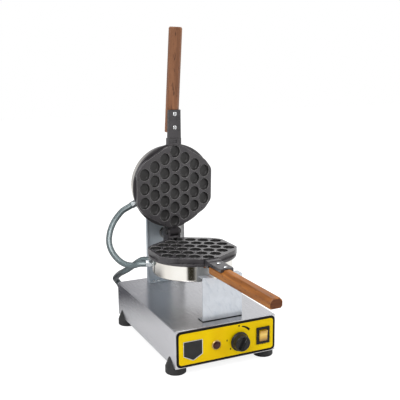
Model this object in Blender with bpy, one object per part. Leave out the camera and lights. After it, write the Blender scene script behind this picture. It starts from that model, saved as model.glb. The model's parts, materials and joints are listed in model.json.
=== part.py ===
"""Rotating bubble waffle maker, modelled in metres with +Z up.

Two cast plates face each other across a parting plane. The lower one hangs on a shaft that turns in a rear
upright, and the upper one is hinged to it. A folded steel box on four rubber feet carries the upright, a
notched front rest for the handles, and the controls. The model is drawn closed, about the centre of the
parting plane, and the lid is then swung open.
"""

import math

import bmesh
import bpy
from mathutils import Matrix, Vector

# Gaps and overruns shared by every piece
seat_gap = 0.0003
cut_overrun = 0.002
weld_distance = 0.00001
sheet = 0.0012
bracket_sheet = 0.0015

# Base box: the rotor axis is base_drop above its top, and its front wall base_front ahead of the plates' centre
base_width = 0.218
base_length = 0.3374
base_height = 0.0754
base_drop = 0.1126
base_front = 0.1587
lip_depth = 0.012
lip_from_side = 0.043
floor_side_gap = 0.0005

# Rubber feet, pushed over the lower edge of the side walls
foot_inset_side = 0.0119
foot_inset_front = 0.0285
foot_inset_rear = 0.0275
foot_radius = 0.0206
foot_rim_edge = 0.0012
foot_rim_height = 0.014
foot_drop = 0.0175
foot_waist_radius = 0.0200
foot_top_radius = 0.0095
foot_top_rise = 0.0225
foot_hole_gap = 0.0008

# Screws in sheet metal
sheet_screw_radius = 0.002
sheet_screw_length = 0.008
sheet_screw_head_radius = 0.004
sheet_screw_head = 0.0022
screw_hole_gap = 0.0004
head_dome_share = 0.55
head_side_share = 0.45
floor_screw_from_lip_end = 0.014

# Front panel and its openings
panel_thickness = 0.001
panel_margin = 0.0016
panel_corner = 0.0095

# Blank shield badge on the panel
badge_width = 0.0405
badge_height = 0.0405
badge_shoulder = 0.0107
badge_thickness = 0.0008

# Pilot lamp
lamp_bezel_radius = 0.0098
lamp_bezel_height = 0.0026
lamp_bezel_chamfer = 0.0013
lamp_barrel_radius = 0.007
lamp_barrel_depth = 0.020
lamp_barrel_wall = 0.0014
lamp_lens_radius = 0.0078
lamp_lens_side = 0.0025
lamp_shoulder_radius = 0.0062
lamp_shoulder_height = 0.0038
lamp_crown_radius = 0.0033
lamp_lens_height = 0.0045

# Thermostat and its knob
knob_radius = 0.0195
knob_skirt = 0.0045
knob_skirt_edge = 0.0027
knob_body_radius = 0.0172
knob_top_edge = 0.0014
knob_height = 0.0165
knob_lift = 0.0022
grip_width = 0.0075
grip_height = 0.0035
grip_reach = 0.0151
grip_tilt_deg = 25.0
spindle_radius = 0.003
spindle_in_knob = 0.0125
spindle_in_body = 0.008
thermostat_size = 0.036
thermostat_depth = 0.030
thermostat_neck_radius = 0.005
thermostat_nut_radius = 0.0072
thermostat_nut_height = 0.0022

# Rocker switch
switch_frame_half_width = 0.015
switch_frame_half_height = 0.0175
switch_frame_height = 0.002
switch_body_half_width = 0.0128
switch_body_half_height = 0.0150
switch_body_depth = 0.016
rocker_half_width = 0.0088
rocker_half_height = 0.0112
rocker_back_half_height = 0.0062
rocker_depth = 0.007
rocker_front = 0.0028
rocker_crown = 0.0012
rocker_throw_deg = 7.0
rocker_cavity_depth = 0.013

# Cast plates: the hexagonal face stands proud of a round flange
face_gap = 0.0002
face_side = 0.088
face_side_half = 0.036
face_corner_across = 0.072
face_corner_along = 0.057
face_neck_across = 0.016
face_neck_along = 0.0905
face_depth = 0.0105
flange_overhang = 0.008
flange_depth = 0.0155
column_pitch = 0.0234
row_pitch = 0.0312
columns = 7
longest_column = 6
bubble_half_width = 0.0118
bubble_half_height = 0.0136
bubble_depth = 0.0092
bubble_wall_share = 0.66
bubble_shoulder_share = 0.90
bubble_floor_share = 0.58

# Arm cast on each plate, and the post that its shell is screwed to
step_half_width = 0.0150
step_in_flange = 0.009
step_length = 0.0225
step_top = 0.0015
step_bottom = 0.0150
arm_root_half_width = 0.0150
arm_tip_half_width = 0.0137
lower_arm_length = 0.0535
upper_arm_length = 0.0610
arm_top = 0.0028
arm_thickness = 0.0067
post_radius = 0.006

# Lid hinge: ears on the lower plate, a tongue on the upper one
hinge_from_flange = 0.0115
hinge_rise = 0.0118
lid_open_deg = 87.5
ear_radius = 0.0088
ear_half_width = 0.0144
tongue_radius = 0.0085
tongue_half_width = 0.0098
hinge_side_gap = 0.0004
tongue_room = 0.001
clevis_behind_hinge = 0.0225
clevis_wall_top = 0.018
pin_radius = 0.004
pin_head_radius = 0.0065
pin_head = 0.0030

# Shells, insulation and heaters behind the plates
shell_radius = 0.085
shell_depth = 0.050
shell_sheet = 0.001
shell_corner = 0.004
heater_circle = 0.043
heater_radius = 0.004
heater_gap_deg = 50.0
insulation_start = 0.0265

# Conduit fittings on the shells
fitting_depth = 0.035
fitting_length = 0.014
fitting_radius = 0.0078
fitting_nipple_radius = 0.0055
fitting_inner_reach = 0.002
link_fitting_deg = 155.0
supply_fitting_deg = 138.0
hose_radius = 0.0065

# Wooden handles
lower_handle_gap = 0.0013
upper_handle_gap = 0.0115
handle_end = 0.340
handle_half_width = 0.0133
handle_top = 0.0052
handle_bottom = 0.0282
handle_tip_bottom = 0.0250
handle_edge = 0.0035
handle_root_bevel = 0.0085
handle_tip_bevel = 0.006
handle_nose = 0.003
handle_nose_inset = 0.0015
upper_handle_cant_deg = 2.2
near_screw_in_arm = 0.0375
far_screw_in_arm = 0.0085
handle_screw_radius = 0.0022
handle_screw_reach = 0.021
handle_screw_head_radius = 0.0046
handle_screw_head = 0.0022

# Shaft, bush and nuts that carry the rotor
shaft_radius = 0.008
shaft_shoulder_radius = 0.012
shaft_socket = 0.010
shaft_behind_upright = 0.021
bush_radius = 0.012
bush_flange_radius = 0.014
bush_flange = 0.0025
bush_nut_radius = 0.0175
bush_nut = 0.006
shaft_nut_radius = 0.0135
shaft_nut = 0.0085
bush_tail = 0.0085

# Rear upright: a channel with a foot
upright_from_clevis = 0.025
upright_half_width = 0.046
upright_top = 0.045
upright_foot_depth = 0.0194
upright_side_depth = 0.007
upright_gusset = 0.017
upright_screw_near = 0.024
upright_screw_far = 0.034
upright_screw_forward = 0.0115

# Front rest: a folded sheet with a round notch for the handles
rest_front = 0.1356
rest_left = 0.0407
rest_right = 0.0455
rest_top_drop = 0.0243
rest_top_depth = 0.019
rest_foot_depth = 0.022
rest_screw_spread = 0.032
rest_screw_back = 0.0135
notch_gap = 0.0009

# Rear wall: elbow of the supply conduit, cable inlet and terminal block
elbow_back = 0.0263
elbow_half = 0.0095
elbow_mouth_tilt_deg = 34.8
elbow_mouth_reach = 0.0179
elbow_mouth_radius = 0.0078
inlet_radius = 0.0095
inlet_collar = 0.0088
inlet_neck_radius = 0.0076
inlet_neck = 0.0112
inlet_tip_radius = 0.0067
inlet_length = 0.016
inlet_bore = 0.0038
nipple_radius = 0.0075
nipple_reach = 0.008
locknut_radius = 0.0115
locknut_height = 0.004
terminal_forward = 0.060
terminal_half_width = 0.024
terminal_half_depth = 0.010
terminal_height = 0.018
terminal_hole_radius = 0.0048
terminal_hole_depth = 0.0072

# Places on the base: shares of half its width to the right, and of its height down
badge_place = (-0.674, 0.564)
lamp_place = (-0.220, 0.532)
knob_place = (0.2385, 0.549)
switch_place = (0.7294, 0.516)
elbow_place = (-0.780, 0.398)
inlet_place = (0.550, 0.496)
terminal_place = 0.413

# Middle points of the two conduits' routes, about the centre of the parting plane
link_route = [
    (-0.1135, 0.1240, 0.0632),
    (-0.1330, 0.1180, 0.0440),
    (-0.1452, 0.1110, 0.0215),
    (-0.1488, 0.1040, -0.0010),
    (-0.1432, 0.0920, -0.0212),
    (-0.1302, 0.0750, -0.0366),
    (-0.1142, 0.0590, -0.0402),
]
supply_route = [
    (-0.0920, 0.0805, -0.0402),
    (-0.1020, 0.0850, -0.0482),
    (-0.1112, 0.0925, -0.0572),
    (-0.1168, 0.1060, -0.0658),
    (-0.1190, 0.1250, -0.0750),
    (-0.1184, 0.1450, -0.0850),
    (-0.1160, 0.1650, -0.0950),
    (-0.1118, 0.1850, -0.1050),
]
mouth_lead = 0.013
route_fineness = 24
route_step_diameters = 1.6

# Fineness of round shapes
round_steps = 40
turned_steps = 20
small_steps = 10
bubble_steps = 10
screw_steps = 10
heater_steps = 16
heater_sides = 6
hose_resolution = 2

# Levels and faces that several pieces share
floor_level = -base_drop - base_height - foot_drop
base_top = -base_drop
base_bottom = -base_drop - base_height
wall_front = -base_front
wall_back = base_length - base_front
panel_back = wall_front - seat_gap
panel_front = panel_back - panel_thickness
control_seat = panel_front - seat_gap
flange_radius = shell_radius + flange_overhang
step_start = flange_radius - step_in_flange
step_end = step_start + step_length
lower_arm_end = step_end + lower_arm_length
upper_arm_end = step_end + upper_arm_length
lower_handle_start = step_end + lower_handle_gap
upper_handle_start = step_end + upper_handle_gap
hinge_back = max(flange_radius, face_side) + hinge_from_flange
clevis_back = hinge_back + clevis_behind_hinge
upright_front = clevis_back + upright_from_clevis
upright_back = upright_front + bracket_sheet
shaft_end = upright_front + shaft_behind_upright
bracket_seat = base_top + seat_gap
arm_bottom = arm_top + arm_thickness
handle_seat = arm_bottom + seat_gap
shell_start = flange_depth + seat_gap
tongue_start = shell_radius + tongue_room
elbow_centre_back = wall_back + elbow_back
half_width = base_width / 2
lip_half_width = half_width - lip_from_side
floor_screw_spread = lip_half_width - floor_screw_from_lip_end
badge_across = badge_place[0] * half_width
badge_drop = badge_place[1] * base_height
lamp_across = lamp_place[0] * half_width
lamp_drop = lamp_place[1] * base_height
knob_across = knob_place[0] * half_width
knob_drop = knob_place[1] * base_height
switch_across = switch_place[0] * half_width
switch_drop = switch_place[1] * base_height
elbow_across = elbow_place[0] * half_width
elbow_drop = elbow_place[1] * base_height
inlet_across = inlet_place[0] * half_width
inlet_drop = inlet_place[1] * base_height
terminal_across = terminal_place * half_width
whole_front = -handle_end
whole_back = elbow_centre_back + elbow_half
stand_shift = -(whole_front + whole_back) / 2
insulation_radius = shell_radius - shell_sheet - fitting_inner_reach - seat_gap
cant_middle = upper_arm_end - (near_screw_in_arm + far_screw_in_arm) / 2
cant_reach = (cant_middle - upper_handle_start) * math.tan(math.radians(upper_handle_cant_deg))
handle_sweep = math.hypot(handle_half_width - handle_edge + cant_reach, handle_bottom)
notch_radius = handle_sweep + notch_gap


def clear_scene():
    for old in list(bpy.data.objects):
        bpy.data.objects.remove(old, do_unlink=True)


def make_material(name, colour, roughness, metallic):
    material = bpy.data.materials.new(name)
    material.use_nodes = True
    shader = material.node_tree.nodes["Principled BSDF"]
    shader.inputs["Base Color"].default_value = (*colour, 1.0)
    shader.inputs["Roughness"].default_value = roughness
    shader.inputs["Metallic"].default_value = metallic
    material.diffuse_color = (*colour, 1.0)
    return material


def frame_empty(name, parent, place, tilt_deg=0.0):
    empty = bpy.data.objects.new(name, None)
    bpy.context.collection.objects.link(empty)
    empty.parent = parent
    empty.location = place
    empty.rotation_euler = (math.radians(tilt_deg), 0.0, 0.0)
    return empty


def object_from(bm, name):
    bmesh.ops.recalc_face_normals(bm, faces=bm.faces)
    mesh = bpy.data.meshes.new(name)
    bm.to_mesh(mesh)
    bm.free()
    made = bpy.data.objects.new(name, mesh)
    bpy.context.collection.objects.link(made)
    return made


def combine(target, tool, operation):
    """Boolean of the target with a second shape, which is used up."""
    helper = object_from(tool, target.name + "_tool")
    step = target.modifiers.new("shape", "BOOLEAN")
    step.operation = operation
    step.object = helper
    graph = bpy.context.evaluated_depsgraph_get()
    result = bpy.data.meshes.new_from_object(target.evaluated_get(graph))
    target.modifiers.clear()
    target.data = result
    bpy.data.objects.remove(helper, do_unlink=True)
    return target


def cut(target, tool):
    return combine(target, tool, "DIFFERENCE")


def unite(target, tool):
    return combine(target, tool, "UNION")


def finish(made, material, parent, place=(0.0, 0.0, 0.0)):
    """Smooth shading, material and parent for a finished piece."""
    made.data.materials.clear()
    made.data.materials.append(material)
    made.data.shade_smooth()
    made.data.set_sharp_from_angle(angle=math.radians(32.0))
    made.parent = parent
    made.location = place
    return made


def box(low, high):
    bm = bmesh.new()
    bmesh.ops.create_cube(bm, size=1.0)
    span = Vector(high) - Vector(low)
    middle = (Vector(high) + Vector(low)) / 2
    bmesh.ops.transform(bm, matrix=Matrix.Translation(middle) @ Matrix.Diagonal((*span, 1.0)), verts=bm.verts)
    return bm


def prism(outline, axis, start, end):
    """An outline in the two other axes, in X, Y, Z order, extruded along one axis."""
    bm = bmesh.new()
    order = {"x": lambda a, b: (start, a, b), "y": lambda a, b: (a, start, b), "z": lambda a, b: (a, b, start)}
    face = bm.faces.new([bm.verts.new(order[axis](a, b)) for a, b in outline])
    pulled = bmesh.ops.extrude_face_region(bm, geom=[face])
    moved = [item for item in pulled["geom"] if isinstance(item, bmesh.types.BMVert)]
    along = {"x": Vector((1, 0, 0)), "y": Vector((0, 1, 0)), "z": Vector((0, 0, 1))}[axis]
    bmesh.ops.translate(bm, verts=moved, vec=along * (end - start))
    return bm


def turned(profile, place, direction, steps):
    """A profile of (radius, height) points spun about an axis through place."""
    bm = bmesh.new()
    points = [bm.verts.new((radius, 0.0, height)) for radius, height in profile]
    edges = [bm.edges.new(pair) for pair in zip(points, points[1:] + points[:1])]
    bmesh.ops.spin(
        bm, geom=points + edges, cent=(0, 0, 0), axis=(0, 0, 1), angle=math.tau, steps=steps, use_merge=True
    )
    bmesh.ops.remove_doubles(bm, verts=bm.verts, dist=weld_distance)
    bmesh.ops.dissolve_degenerate(bm, edges=bm.edges, dist=weld_distance)
    for edge in [edge for edge in bm.edges if not edge.link_faces]:
        bm.edges.remove(edge)
    turn = Vector((0, 0, 1)).rotation_difference(Vector(direction)).to_matrix().to_4x4()
    bmesh.ops.transform(bm, matrix=Matrix.Translation(place) @ turn, verts=bm.verts)
    return bm


def rod(radius, start, end, steps=small_steps):
    length = (Vector(end) - Vector(start)).length
    profile = [(0, 0), (radius, 0), (radius, length), (0, length)]
    return turned(profile, start, Vector(end) - Vector(start), steps)


def flipped(bm):
    """The mirror image across the parting plane."""
    bmesh.ops.scale(bm, vec=(1, 1, -1), verts=bm.verts)
    bmesh.ops.reverse_faces(bm, faces=bm.faces)
    return bm


def flip_object(made):
    bm = bmesh.new()
    bm.from_mesh(made.data)
    flipped(bm).to_mesh(made.data)
    bm.free()
    return made


def on_side(upper):
    """The finished piece stays below the parting plane, or goes above it for the lid."""
    return flip_object if upper else (lambda made: made)


def screw(name, place, direction, radius, length, head_radius, head):
    """A pan-head screw with its head's underside at the place and its shank along direction."""
    dome_radius = head_radius * head_dome_share
    profile = [
        (0, length),
        (radius, length),
        (radius, 0),
        (head_radius, 0),
        (head_radius, -head * head_side_share),
        (dome_radius, -head),
        (0, -head),
    ]
    return object_from(turned(profile, place, direction, screw_steps), name)


def sheet_screw(name, place, direction, material, parent):
    made = screw(
        name, place, direction, sheet_screw_radius, sheet_screw_length, sheet_screw_head_radius, sheet_screw_head
    )
    return finish(made, material, parent)


def hexagon(radius, turn=0.0):
    return [
        (radius * math.cos(turn + k * math.pi / 3), radius * math.sin(turn + k * math.pi / 3)) for k in range(6)
    ]


def nut_shape(radius, bore, place, direction, height, steps=small_steps):
    """A hexagon nut from place along direction."""
    bm = prism(hexagon(radius), "z", 0.0, height)
    nut = object_from(bm, "nut_blank")
    cut(nut, rod(bore, (0, 0, -cut_overrun), (0, 0, height + cut_overrun), steps))
    bm = bmesh.new()
    bm.from_mesh(nut.data)
    bpy.data.objects.remove(nut, do_unlink=True)
    turn = Vector((0, 0, 1)).rotation_difference(Vector(direction)).to_matrix().to_4x4()
    bmesh.ops.transform(bm, matrix=Matrix.Translation(place) @ turn, verts=bm.verts)
    return bm


def arc(centre, radius, start_deg, end_deg, steps):
    """Points of an arc in two coordinates, both ends included."""
    points = []
    for k in range(steps + 1):
        angle = math.radians(start_deg + (end_deg - start_deg) * k / steps)
        points.append((centre[0] + radius * math.cos(angle), centre[1] + radius * math.sin(angle)))
    return points


def rounded_rectangle(low, high, radius, steps=4):
    (x0, z0), (x1, z1) = low, high
    outline = []
    for centre, start in (
        ((x1 - radius, z1 - radius), 0),
        ((x0 + radius, z1 - radius), 90),
        ((x0 + radius, z0 + radius), 180),
        ((x1 - radius, z0 + radius), 270),
    ):
        outline += arc(centre, radius, start, start + 90, steps)
    return outline


def shell_point(angle_deg, radius, depth):
    angle = math.radians(angle_deg)
    return Vector((radius * math.cos(angle), radius * math.sin(angle), -depth))


def smooth_route(points, step):
    """Even points on a Catmull-Rom curve through the route's own points, between its two straight ends."""
    knots = [Vector(p) for p in points]
    dense = []
    for a, b, c, d in zip(knots, knots[1:], knots[2:], knots[3:]):
        for k in range(route_fineness):
            t = k / route_fineness
            dense.append(
                0.5 * (2 * b + (c - a) * t + (2 * a - 5 * b + 4 * c - d) * t * t + (3 * b - a - 3 * c + d) * t**3)
            )
    dense.append(knots[-2])
    reach = [0.0]
    for before, after in zip(dense, dense[1:]):
        reach.append(reach[-1] + (after - before).length)
    count = max(4, round(reach[-1] / step))
    route = [knots[0]]
    k = 0
    for n in range(count + 1):
        goal = reach[-1] * n / count
        while k < len(dense) - 2 and reach[k + 1] < goal:
            k += 1
        part = (goal - reach[k]) / (reach[k + 1] - reach[k])
        route.append(dense[k].lerp(dense[k + 1], min(max(part, 0.0), 1.0)))
    return route + [knots[-1]]


def fitting_mouth(angle_deg, ahead):
    return shell_point(angle_deg, shell_radius + fitting_length + ahead, fitting_depth)


def lid_point(point):
    """A point of the upper half, drawn below the parting plane, where the open lid carries it."""
    hinge = Vector((0, hinge_back, hinge_rise))
    closed = Vector((point.x, point.y, -point.z))
    return hinge + Matrix.Rotation(math.radians(-lid_open_deg), 3, "X") @ (closed - hinge)


def elbow_mouth(ahead):
    tilt = math.radians(elbow_mouth_tilt_deg)
    centre = Vector((elbow_across, elbow_centre_back, base_top - elbow_drop))
    return centre + Vector((-math.sin(tilt), 0, math.cos(tilt))) * (elbow_mouth_reach + ahead)


def whole_link_route():
    upper_ends = [lid_point(fitting_mouth(link_fitting_deg, ahead)) for ahead in (0.0, mouth_lead)]
    lower_ends = [fitting_mouth(link_fitting_deg, ahead) for ahead in (mouth_lead, 0.0)]
    return upper_ends + link_route + lower_ends


def whole_supply_route():
    shell_ends = [fitting_mouth(supply_fitting_deg, ahead) for ahead in (0.0, mouth_lead)]
    return shell_ends + supply_route + [elbow_mouth(mouth_lead), elbow_mouth(0.0)]


def hose(name, route, material, parent):
    curve = bpy.data.curves.new(name, "CURVE")
    curve.dimensions = "3D"
    curve.bevel_depth = hose_radius
    curve.bevel_resolution = hose_resolution
    curve.use_fill_caps = True
    points = smooth_route(route, route_step_diameters * 2 * hose_radius)
    spline = curve.splines.new("POLY")
    spline.points.add(len(points) - 1)
    for target, point in zip(spline.points, points):
        target.co = (*point, 1.0)
    curve.materials.append(material)
    made = bpy.data.objects.new(name, curve)
    bpy.context.collection.objects.link(made)
    made.parent = parent
    return made


# Base box and floor


def foot_centres():
    side = half_width - foot_inset_side
    front = wall_front + foot_inset_front
    back = wall_back - foot_inset_rear
    return {
        "foot_front_left": (-side, front),
        "foot_front_right": (side, front),
        "foot_rear_left": (-side, back),
        "foot_rear_right": (side, back),
    }


def foot_radius_at(level):
    """Radius of the foot's cone at a level."""
    low = floor_level + foot_rim_height
    high = base_bottom + foot_top_rise
    share = (level - low) / (high - low)
    return foot_waist_radius + (foot_top_radius - foot_waist_radius) * share


def upright_screw_places():
    level = bracket_seat + bracket_sheet + seat_gap
    along = upright_front - upright_screw_forward
    across = (-upright_screw_far, -upright_screw_near, upright_screw_near, upright_screw_far)
    return [(x, along, level) for x in across]


def rest_screw_places():
    level = bracket_seat + bracket_sheet + seat_gap
    along = -rest_front + rest_screw_back
    middle = (rest_right - rest_left) / 2
    return [(middle + x, along, level) for x in (-rest_screw_spread, rest_screw_spread)]


def floor_screw_places():
    front = wall_front + lip_depth / 2 + sheet / 2
    back = wall_back - lip_depth / 2 - sheet / 2
    level = base_bottom - seat_gap
    return [(x, y, level) for x in (-floor_screw_spread, floor_screw_spread) for y in (front, back)]


def control_holes(low_y, high_y):
    """Cutters for the lamp barrel, the thermostat neck and the switch body."""
    neck = thermostat_neck_radius + seat_gap
    barrel = lamp_barrel_radius + seat_gap
    across = switch_body_half_width + seat_gap
    up = switch_body_half_height + seat_gap
    switch_level = base_top - switch_drop
    lamp_level = base_top - lamp_drop
    knob_level = base_top - knob_drop
    return [
        rod(barrel, (lamp_across, low_y, lamp_level), (lamp_across, high_y, lamp_level), turned_steps),
        rod(neck, (knob_across, low_y, knob_level), (knob_across, high_y, knob_level)),
        box(
            (switch_across - across, low_y, switch_level - up),
            (switch_across + across, high_y, switch_level + up),
        ),
    ]


def build_base_shell(material, parent):
    inner = half_width - sheet
    made = object_from(
        box((-half_width, wall_front, base_bottom), (half_width, wall_back, base_top)), "base_shell"
    )
    cut(
        made,
        box((-inner, wall_front + sheet, base_bottom + sheet), (inner, wall_back - sheet, base_top - sheet)),
    )
    low = base_bottom - cut_overrun
    high = base_bottom + sheet + seat_gap
    lips = lip_half_width
    cut(made, box((-lips, wall_front + lip_depth, low), (lips, wall_back - lip_depth, high)))
    for side in (-1, 1):
        across = sorted((side * lips, side * inner))
        cut(made, box((across[0], wall_front + sheet, low), (across[1], wall_back - sheet, high)))
    for tool in control_holes(wall_front - cut_overrun, wall_front + sheet + cut_overrun):
        cut(made, tool)
    nipple = nipple_radius + seat_gap
    for across, drop in ((elbow_across, elbow_drop), (inlet_across, inlet_drop)):
        start = (across, wall_back - sheet - cut_overrun, base_top - drop)
        end = (across, wall_back + cut_overrun, base_top - drop)
        cut(made, rod(nipple, start, end))
    hole = sheet_screw_radius + screw_hole_gap
    for x, y, _ in upright_screw_places() + rest_screw_places():
        cut(made, rod(hole, (x, y, base_top - sheet - cut_overrun), (x, y, base_top + cut_overrun)))
    for x, y, _ in floor_screw_places():
        cut(made, rod(hole, (x, y, base_bottom - cut_overrun), (x, y, base_bottom + sheet + cut_overrun)))
    return finish(made, material, parent)


def build_base_floor(material, parent):
    inner = half_width - sheet - floor_side_gap
    front = wall_front + sheet + floor_side_gap
    back = wall_back - sheet - floor_side_gap
    low = base_bottom + sheet + seat_gap
    made = object_from(box((-inner, front, low), (inner, back, low + sheet)), "base_floor")
    for x, y in foot_centres().values():
        radius = foot_radius_at(low) + foot_hole_gap
        cut(made, rod(radius, (x, y, low - cut_overrun), (x, y, low + sheet + cut_overrun), turned_steps))
    hole = sheet_screw_radius + screw_hole_gap
    for x, y, _ in floor_screw_places():
        cut(made, rod(hole, (x, y, low - cut_overrun), (x, y, low + sheet + cut_overrun)))
    return finish(made, material, parent)


def build_foot(name, centre, material, parent):
    x, y = centre
    low = floor_level
    top = base_bottom + foot_top_rise
    profile = [
        (0, 0),
        (foot_radius - foot_rim_edge, 0),
        (foot_radius, foot_rim_edge),
        (foot_radius, foot_rim_height - foot_rim_edge),
        (foot_waist_radius, foot_rim_height),
        (foot_top_radius, top - low),
        (0, top - low),
    ]
    made = object_from(turned(profile, (x, y, low), (0, 0, 1), turned_steps), name)
    outer = half_width + seat_gap
    inner = half_width - sheet - seat_gap
    side = 1 if x > 0 else -1
    across = sorted((side * inner, side * outer))
    reach = foot_radius + cut_overrun
    slot = box((across[0], y - reach, base_bottom - seat_gap), (across[1], y + reach, top + cut_overrun))
    cut(made, slot)
    return finish(made, material, parent)


def build_base_screws(material, parent):
    for name, places, direction in (
        ("floor_screw", floor_screw_places(), (0, 0, 1)),
        ("rest_screw", rest_screw_places(), (0, 0, -1)),
        ("upright_screw", upright_screw_places(), (0, 0, -1)),
    ):
        for number, place in enumerate(places, 1):
            sheet_screw(f"{name}_{number}", place, direction, material, parent)


# Front panel and controls


def build_front_panel(material, parent):
    half = half_width - panel_margin
    outline = rounded_rectangle((-half, base_bottom + panel_margin), (half, base_top - panel_margin), panel_corner)
    made = object_from(prism(outline, "y", panel_front, panel_back), "front_panel")
    for tool in control_holes(panel_front - cut_overrun, panel_back + cut_overrun):
        cut(made, tool)
    nut_room = thermostat_nut_radius + seat_gap
    level = base_top - knob_drop
    cut(
        made,
        rod(
            nut_room,
            (knob_across, panel_front - cut_overrun, level),
            (knob_across, panel_back + cut_overrun, level),
        ),
    )
    return finish(made, material, parent)


def build_badge(material, parent):
    half = badge_width / 2
    top = base_top - badge_drop + badge_height / 2
    foot = top - badge_height
    shoulder = foot + badge_shoulder
    outline = [(-half, top), (-half, shoulder), (0.0, foot), (half, shoulder), (half, top)]
    outline = [(badge_across + x, z) for x, z in outline]
    made = object_from(prism(outline, "y", control_seat - badge_thickness, control_seat), "badge_plate")
    return finish(made, material, parent)


def build_lamp(bezel_material, lens_material, parent):
    place = (lamp_across, control_seat, base_top - lamp_drop)
    forward = (0, -1, 0)
    bore = lamp_barrel_radius - lamp_barrel_wall
    recess = lamp_lens_radius + seat_gap
    back = -lamp_barrel_depth
    profile = [
        (0, back),
        (lamp_barrel_radius, back),
        (lamp_barrel_radius, 0),
        (lamp_bezel_radius, 0),
        (lamp_bezel_radius, lamp_bezel_height - lamp_bezel_chamfer),
        (lamp_bezel_radius - lamp_bezel_chamfer, lamp_bezel_height),
        (recess, lamp_bezel_height),
        (recess, seat_gap * 2),
        (bore, seat_gap * 2),
        (bore, back + lamp_barrel_wall),
        (0, back + lamp_barrel_wall),
    ]
    bezel = object_from(turned(profile, place, forward, turned_steps), "lamp_bezel")
    finish(bezel, bezel_material, parent)
    seat = seat_gap * 3
    lens_profile = [
        (0, seat),
        (lamp_lens_radius, seat),
        (lamp_lens_radius, lamp_lens_side),
        (lamp_shoulder_radius, lamp_shoulder_height),
        (lamp_crown_radius, lamp_lens_height),
        (0, lamp_lens_height),
    ]
    lens = object_from(turned(lens_profile, place, forward, turned_steps), "lamp_lens")
    finish(lens, lens_material, parent)


def build_thermostat(body_material, nut_material, parent):
    level = base_top - knob_drop
    half = thermostat_size / 2
    inside = wall_front + sheet + seat_gap
    made = object_from(
        box(
            (knob_across - half, inside, level - half),
            (knob_across + half, inside + thermostat_depth, level + half),
        ),
        "thermostat_body",
    )
    nut_front = wall_front - seat_gap - thermostat_nut_height
    neck_front = nut_front - seat_gap
    neck = rod(
        thermostat_neck_radius, (knob_across, inside + half, level), (knob_across, neck_front, level)
    )
    unite(made, neck)
    bore = spindle_radius + seat_gap
    cut(
        made,
        rod(
            bore,
            (knob_across, neck_front - cut_overrun, level),
            (knob_across, inside + spindle_in_body + seat_gap, level),
        ),
    )
    finish(made, body_material, parent)
    nut = nut_shape(
        thermostat_nut_radius,
        thermostat_neck_radius + seat_gap,
        (knob_across, wall_front - seat_gap, level),
        (0, -1, 0),
        thermostat_nut_height,
    )
    finish(object_from(nut, "thermostat_nut"), nut_material, parent)


def build_knob(knob_material, spindle_material, parent):
    """Knob and spindle about their own axis, which runs forward from the panel's face."""
    back = -knob_lift
    front = back - knob_height
    profile = [
        (0, 0),
        (knob_radius, 0),
        (knob_radius, knob_skirt_edge),
        (knob_body_radius, knob_skirt),
        (knob_body_radius - knob_top_edge, knob_height - knob_top_edge),
        (knob_body_radius - 2 * knob_top_edge, knob_height),
        (0, knob_height),
    ]
    made = object_from(turned(profile, (0, back, 0), (0, -1, 0), turned_steps), "thermostat_knob")
    half = grip_width / 2
    bar = box((-half, front - grip_height, -grip_reach), (half, front + cut_overrun, grip_reach))
    tilt = Matrix.Rotation(math.radians(grip_tilt_deg), 4, "Y")
    bmesh.ops.transform(bar, matrix=tilt, verts=bar.verts)
    unite(made, bar)
    bore = spindle_radius + seat_gap
    cut(made, rod(bore, (0, back + cut_overrun, 0), (0, back - spindle_in_knob - seat_gap, 0)))
    finish(made, knob_material, parent)
    inner_end = wall_front + sheet + seat_gap + spindle_in_body - panel_front
    spindle = rod(spindle_radius, (0, inner_end, 0), (0, back - spindle_in_knob, 0))
    finish(object_from(spindle, "thermostat_spindle"), spindle_material, parent)


def rocker_room():
    """Half height that the tilting rocker needs inside its housing."""
    throw = math.radians(rocker_throw_deg)
    reach = max(rocker_depth, rocker_front + rocker_crown)
    return rocker_half_height * math.cos(throw) + reach * math.sin(throw) + seat_gap


def build_switch(material, parent):
    level = base_top - switch_drop
    made = object_from(
        box(
            (
                switch_across - switch_frame_half_width,
                control_seat - switch_frame_height,
                level - switch_frame_half_height,
            ),
            (switch_across + switch_frame_half_width, control_seat, level + switch_frame_half_height),
        ),
        "switch_housing",
    )
    unite(
        made,
        box(
            (
                switch_across - switch_body_half_width,
                control_seat - switch_frame_height / 2,
                level - switch_body_half_height,
            ),
            (
                switch_across + switch_body_half_width,
                control_seat + switch_body_depth,
                level + switch_body_half_height,
            ),
        ),
    )
    across = rocker_half_width + seat_gap
    up = rocker_room()
    cut(
        made,
        box(
            (switch_across - across, control_seat - switch_frame_height - cut_overrun, level - up),
            (switch_across + across, control_seat + rocker_cavity_depth, level + up),
        ),
    )
    return finish(made, material, parent)


def build_rocker(material, parent):
    """Rocker about its own pivot, which is level with the back of the frame."""
    front = -switch_frame_height - rocker_front
    outline = [
        (rocker_depth, -rocker_back_half_height),
        (0.0, -rocker_half_height),
        (front, -rocker_half_height),
        (front + rocker_crown, 0.0),
        (front, rocker_half_height),
        (0.0, rocker_half_height),
        (rocker_depth, rocker_back_half_height),
    ]
    made = object_from(prism(outline, "x", -rocker_half_width, rocker_half_width), "switch_rocker")
    return finish(made, material, parent)


# Front rest and rear upright


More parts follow.
